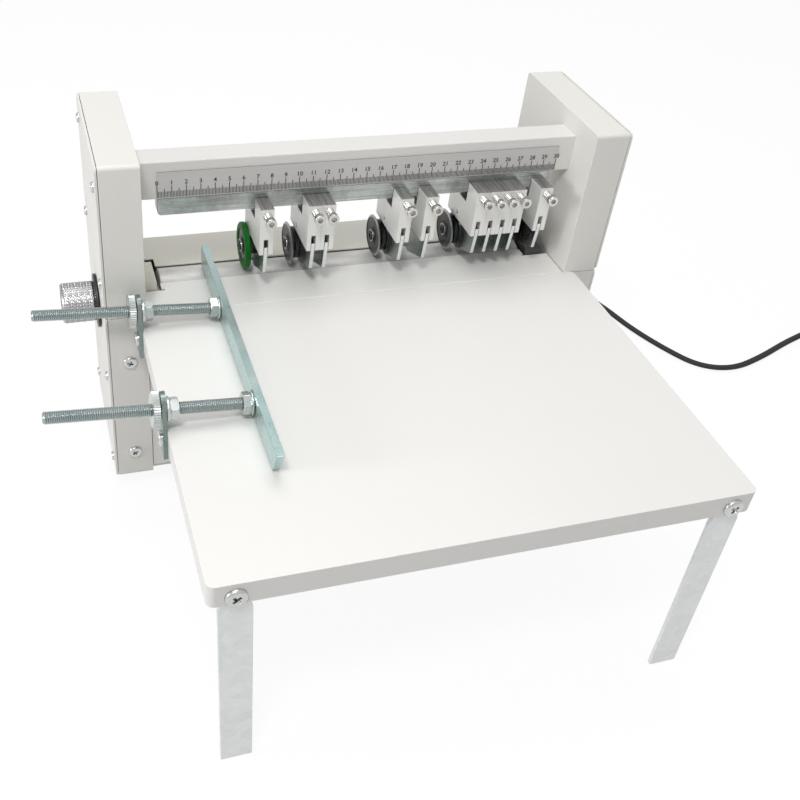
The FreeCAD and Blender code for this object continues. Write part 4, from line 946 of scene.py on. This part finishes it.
def thumb_nuts():
    """Knurled thumb nuts beside the brackets."""
    disc_wall, collar_wall, collar_radius = 4.4, 0.6, 6.5
    skew = collar_radius * math.sin(ROD_TILT) + 0.3
    end = (BRACKET_FACE - skew - BAR_FACE) / math.cos(ROD_TILT)
    start = end - collar_wall - disc_wall
    for name, y in zip(("rear_thumb_nut", "front_thumb_nut"), ROD_YS):
        disc = ribbed("disc", 11.5 * MM, 0.55 * MM, disc_wall * MM, 44, 0.5 * MM)
        collar = post("collar", 4.3 * MM, 5.0 * MM, collar_radius * MM, 40)
        carve(disc, collar, "UNION")
        hollow(disc, -MM, 8 * MM, ROD_BORE)
        smooth(disc, 30)
        disc.data.transform(on_rod(y, start))
        disc.name = name + "_knurled"
        put(disc, name, "zinc", ZINC, name)


thumb_nuts()

# ---------------------------------------------------------------- hand knob


def hand_knob():
    """A diamond-knurled aluminium knob with a dark flange behind it."""
    left, right, radius = -28.7, -4.4, 14.9
    length = right - left
    around, along, teeth = 132, 40, 44
    groove, shoulder, shoulder_drop = 0.55, 1.6, 1.1
    fresh()
    bpy.ops.mesh.primitive_cylinder_add(vertices=around, radius=radius * MM,
                                        depth=length * MM, end_fill_type="NOTHING")
    knurl = active("knurl")
    shape = bmesh.new()
    shape.from_mesh(knurl.data)
    upright = [e for e in shape.edges if abs(e.verts[0].co.z - e.verts[1].co.z) > 0.001]
    bmesh.ops.subdivide_edges(shape, edges=upright, cuts=along - 1, use_grid_fill=True)
    for vertex in shape.verts:
        angle = math.atan2(vertex.co.y, vertex.co.x)
        height = (vertex.co.z / MM + length / 2) / length
        slant = height * teeth * length / (2 * math.pi * radius)
        first = abs(((angle / (2 * math.pi) * teeth + slant) % 1.0) - 0.5) * 2
        second = abs(((angle / (2 * math.pi) * teeth - slant) % 1.0) - 0.5) * 2
        lift = min(1.0, min(first, second) * 1.6)
        edge = min(1.0, min(height, 1 - height) * length / shoulder)
        reach = radius - groove * (1 - lift) - shoulder_drop * (1 - edge)
        vertex.co.x = math.cos(angle) * reach * MM
        vertex.co.y = math.sin(angle) * reach * MM
    bmesh.ops.holes_fill(shape, edges=[e for e in shape.edges if e.is_boundary], sides=0)
    shape.to_mesh(knurl.data)
    shape.free()
    edit_faces(knurl, lambda face: face.normal.z < -0.9 and face.area > 0.0001)
    bpy.ops.mesh.inset(thickness=4.5 * MM)
    bpy.ops.mesh.inset(thickness=0.5 * MM, depth=-1.0 * MM)
    leave_edit()
    smooth(knurl, 24)
    centre = spot((left + right) / 2, AXLE_Y, KNOB_Z)
    knurl.data.transform(Matrix.Translation(centre) @ RIGHT)
    knurl.name = "knurled_hand_knob"
    put(knurl, "roller", "knob_metal", KNOB, "hand_knob")
    flange = rod("knob_flange", spot(right, AXLE_Y, KNOB_Z), spot(-2.4, AXLE_Y, KNOB_Z),
                 20 * MM, 64)
    chamfer(flange, 0.5 * MM, 2)
    smooth(flange, 30)
    put(flange, "roller", "knob_metal", DARK_METAL)


hand_knob()

# ---------------------------------------------------------------- socket screws

# The left faces of each set's holders, which are 10 mm thick.
HOLDER_LEFTS = {1: [109.7], 2: [144.6, 154.6], 3: [213.3], 4: [232.8],
                5: [273.1, 283.1, 293.1, 303.1], 6: [324.8]}


def clamp_screws():
    """Bright socket-head screws whose threads show before the holders."""
    shank = thread("shank", 24.9 * MM, 3.1 * MM, 1.5 * MM, 0.75 * MM, 18)
    shank.data.transform(Matrix.Translation((0, 0, 4.2 * MM)))
    head = post("head", 0, 4.5 * MM, 3.9 * MM, 32)
    chamfer(head, 0.45 * MM, 3)
    hollow(head, -MM, 3.9 * MM, 2.2 * MM, 6)
    smooth(head, 30)
    model = join("screw_model", [shank, head])
    for index, places in HOLDER_LEFTS.items():
        screws = []
        for left in places:
            turn = spin(random.uniform(0, 6.28))
            place = Matrix.Translation(spot(left + 5, -0.5, 234.5)) @ REAR @ turn
            screws.append(twin(model, "screw_%d_%d" % (index, len(screws)), place))
        item = join("socket_screws_%d" % index, screws)
        put(item, "holder_%d" % index, "screw_steel", CHROME, "clamp_screws_%d" % index)
    bpy.data.objects.remove(model)


clamp_screws()


def wheel_screws():
    """The socket screw in the middle of each wheel."""
    for index, left, reach, height in WHEELS:
        face = left - reach - 0.3 - 0.8
        head = rod("wheel_screw_%d" % index, spot(face - 0.9, AXLE_Y, height),
                   spot(face + 0.1, AXLE_Y, height), 3.6 * MM, 28)
        chamfer(head, 0.3 * MM, 2)
        carve(head, rod("hex", spot(face - 2, AXLE_Y, height),
                        spot(face - 0.2, AXLE_Y, height), 1.9 * MM, 6))
        smooth(head, 30)
        put(head, "arm_%d" % index, "arm_steel", DARK_METAL)


wheel_screws()

# ---------------------------------------------------------------- mains lead

ROUTE = [
    (367.5, 142, 45), (367.5, 160, 45), (369, 184, 34), (381, 214, 13), (407, 236, 3.1),
    (444, 243, 3.1), (482, 226, 3.1), (510, 196, 3.1), (523.5, 160, 3.1), (533, 122, 3.1),
    (550, 83, 3.1), (569, 52, 3.1), (602, 41, 3.1), (643, 53, 3.1), (684, 70, 3.1),
    (722, 82, 3.1), (755, 95, 3.1),
]
COIL_RADIUS = 45.5  # of the outer half turn
COIL_STEP = 3.6  # each half turn is this much smaller than the one outside it
COIL_LAYER = 4.6  # height of the second layer over the first
COIL_HALVES = 5  # half turns of a layer inside the outer one
HALF_TURN_POINTS = 8


def coil_points():
    """The put-away turns: two layers that spiral in and out again."""
    last = Vector(ROUTE[-1])
    heading = (last - Vector(ROUTE[-2])).normalized()
    side = Vector((heading.y, -heading.x, 0))
    centre = last + heading * 5.8 + side * COIL_RADIUS
    points = []
    inward = [COIL_RADIUS - k * COIL_STEP for k in range(COIL_HALVES + 1)]
    radii = inward + inward[::-1]
    heights = [0.0] * len(inward) + [COIL_LAYER] * len(inward)
    spread = 1.012  # the points stand a little outside the turn that they draw
    way = -1.0
    for k in range(len(radii) - 1):
        a = centre + side * (way * radii[k]) + Vector((0, 0, heights[k]))
        b = centre - side * (way * radii[k + 1]) + Vector((0, 0, heights[k + 1]))
        middle = (a + b) / 2
        bulge = heading * (-way * (b - a).length / 2)
        for j in range(HALF_TURN_POINTS):
            angle = math.pi * j / HALF_TURN_POINTS
            points.append(middle + (a - middle) * math.cos(angle) * spread
                          + bulge * math.sin(angle) * spread)
        way = -way
    points.append(b)
    leave = heading * (-way)
    points.append(b + leave * 14 + Vector((0, 0, 1.0)))
    points.append(b + leave * 28 + Vector((0, 0, 1.7)))
    return points


def lead_section():
    """The flat lead's outline: two cores side by side with a groove between."""
    core, apart = 1.85, 1.25
    section = bpy.data.curves.new("lead_section", "CURVE")
    section.dimensions = "2D"
    shape = section.splines.new("POLY")
    ring = []
    for side in (-1, 1):
        for j in range(9):
            angle = math.radians(-78 + 156 * j / 8)
            ring.append((side * (apart + core * math.cos(angle)),
                         side * core * math.sin(angle)))
    shape.points.add(len(ring) - 1)
    for point, (u, w) in zip(shape.points, ring):
        point.co = (u * MM, w * MM, 0, 1)
    shape.use_cyclic_u = True
    return place_new("lead_section", section)


def mains_lead(profile):
    """A flat two-core lead from the strain relief to the plug."""
    curve = bpy.data.curves.new("mains_lead", "CURVE")
    curve.dimensions = "3D"
    curve.twist_mode = "Z_UP"
    curve.resolution_u = 8
    curve.bevel_mode = "OBJECT"
    curve.bevel_object = profile
    curve.use_fill_caps = True
    line = curve.splines.new("NURBS")
    points = [Vector(p) for p in ROUTE] + coil_points()
    line.points.add(len(points) - 1)
    for target, point in zip(line.points, points):
        target.co = (*spot(*point), 1)
    line.order_u = 3
    line.use_endpoint_u = True
    lead = place_new("mains_lead", curve)
    put(lead, "frame", "cord_plastic", CORD, "power_cord", "cord_coil")
    return lead


PROFILE = lead_section()
LEAD = mains_lead(PROFILE)
tuple(spot(*ROUTE[0]))
PROFILE.hide_render = True

# ---------------------------------------------------------------- studio

WHITE = (1, 1, 1, 1)
# Each lamp's name, place, width and power in watts.
LAMPS = (("top", (0.05, 0.35, 1.5), 0.8, 5.5), ("key", (-0.42, -0.6, 1.35), 0.25, 6.8),
         ("side", (-1.3, -0.1, 0.45), 0.3, 5.0))
AIM = Vector((0, 0, 0.15))


def seen(tree):
    """1 for rays from the camera, a mirror or glass, 0 for the light that spreads."""
    path = tree.nodes.new("ShaderNodeLightPath")
    mask = path.outputs["Is Camera Ray"]
    for ray in ("Is Glossy Ray", "Is Transmission Ray"):
        either = tree.nodes.new("ShaderNodeMath")
        either.operation = "MAXIMUM"
        tree.links.new(mask, either.inputs[0])
        tree.links.new(path.outputs[ray], either.inputs[1])
        mask = either.outputs[0]
    return mask


def mixed(tree, factor, lit, bright, output):
    """Send a mix of two shaders to the output node."""
    mix = tree.nodes.new("ShaderNodeMixShader")
    for socket, source in zip(mix.inputs, (factor, lit, bright)):
        tree.links.new(source, socket)
    tree.links.new(mix.outputs[0], tree.nodes[output].inputs[0])


def white_floor():
    """A white floor that keeps a faint shadow."""
    fresh()
    bpy.ops.mesh.primitive_plane_add(size=8, location=(0, 0, -0.0002))
    floor = active("floor")
    f = Finish("studio_floor")
    f.done((0.6, 0.6, 0.6), 0.9)
    glow = f.node("ShaderNodeEmission", {}, {"Color": WHITE, "Strength": 1.12})
    share = Wire(f, seen(f.tree)) * 0.8
    mixed(f.tree, share.socket, f.shader.outputs[0], glow.socket, "Material Output")
    coat(floor, f.material)


def soft_sky():
    """Dim light that is stronger from above, behind a plain pale backdrop."""
    world = bpy.data.worlds.new("world")
    bpy.context.scene.world = world
    world.use_nodes = True
    tree = world.node_tree
    light = tree.nodes["Background"]
    light.inputs["Color"].default_value = WHITE
    way = tree.nodes.new("ShaderNodeTexCoord")
    split = tree.nodes.new("ShaderNodeSeparateXYZ")
    tree.links.new(way.outputs["Generated"], split.inputs[0])
    rise = tree.nodes.new("ShaderNodeMapRange")
    for name, value in (("From Min", 0.0), ("From Max", 1.0), ("To Min", 0.24),
                        ("To Max", 0.60)):
        rise.inputs[name].default_value = value
    tree.links.new(split.outputs[2], rise.inputs["Value"])
    tree.links.new(rise.outputs[0], light.inputs["Strength"])
    backdrop = tree.nodes.new("ShaderNodeBackground")
    backdrop.inputs["Strength"].default_value = 1.0
    mixed(tree, seen(tree), light.outputs[0], backdrop.outputs[0], "World Output")


def lamps():
    """Three square lamps that point at the machine."""
    for name, place, size, power in LAMPS:
        data = bpy.data.lights.new(name, "AREA")
        data.shape = "SQUARE"
        data.size = size
        data.energy = power
        lamp = place_new(name, data)
        lamp.location = place
        lamp.rotation_euler = (AIM - Vector(place)).to_track_quat("-Z", "Y").to_euler()


white_floor()
soft_sky()
lamps()
bpy.context.scene.view_settings.view_transform = "Standard"
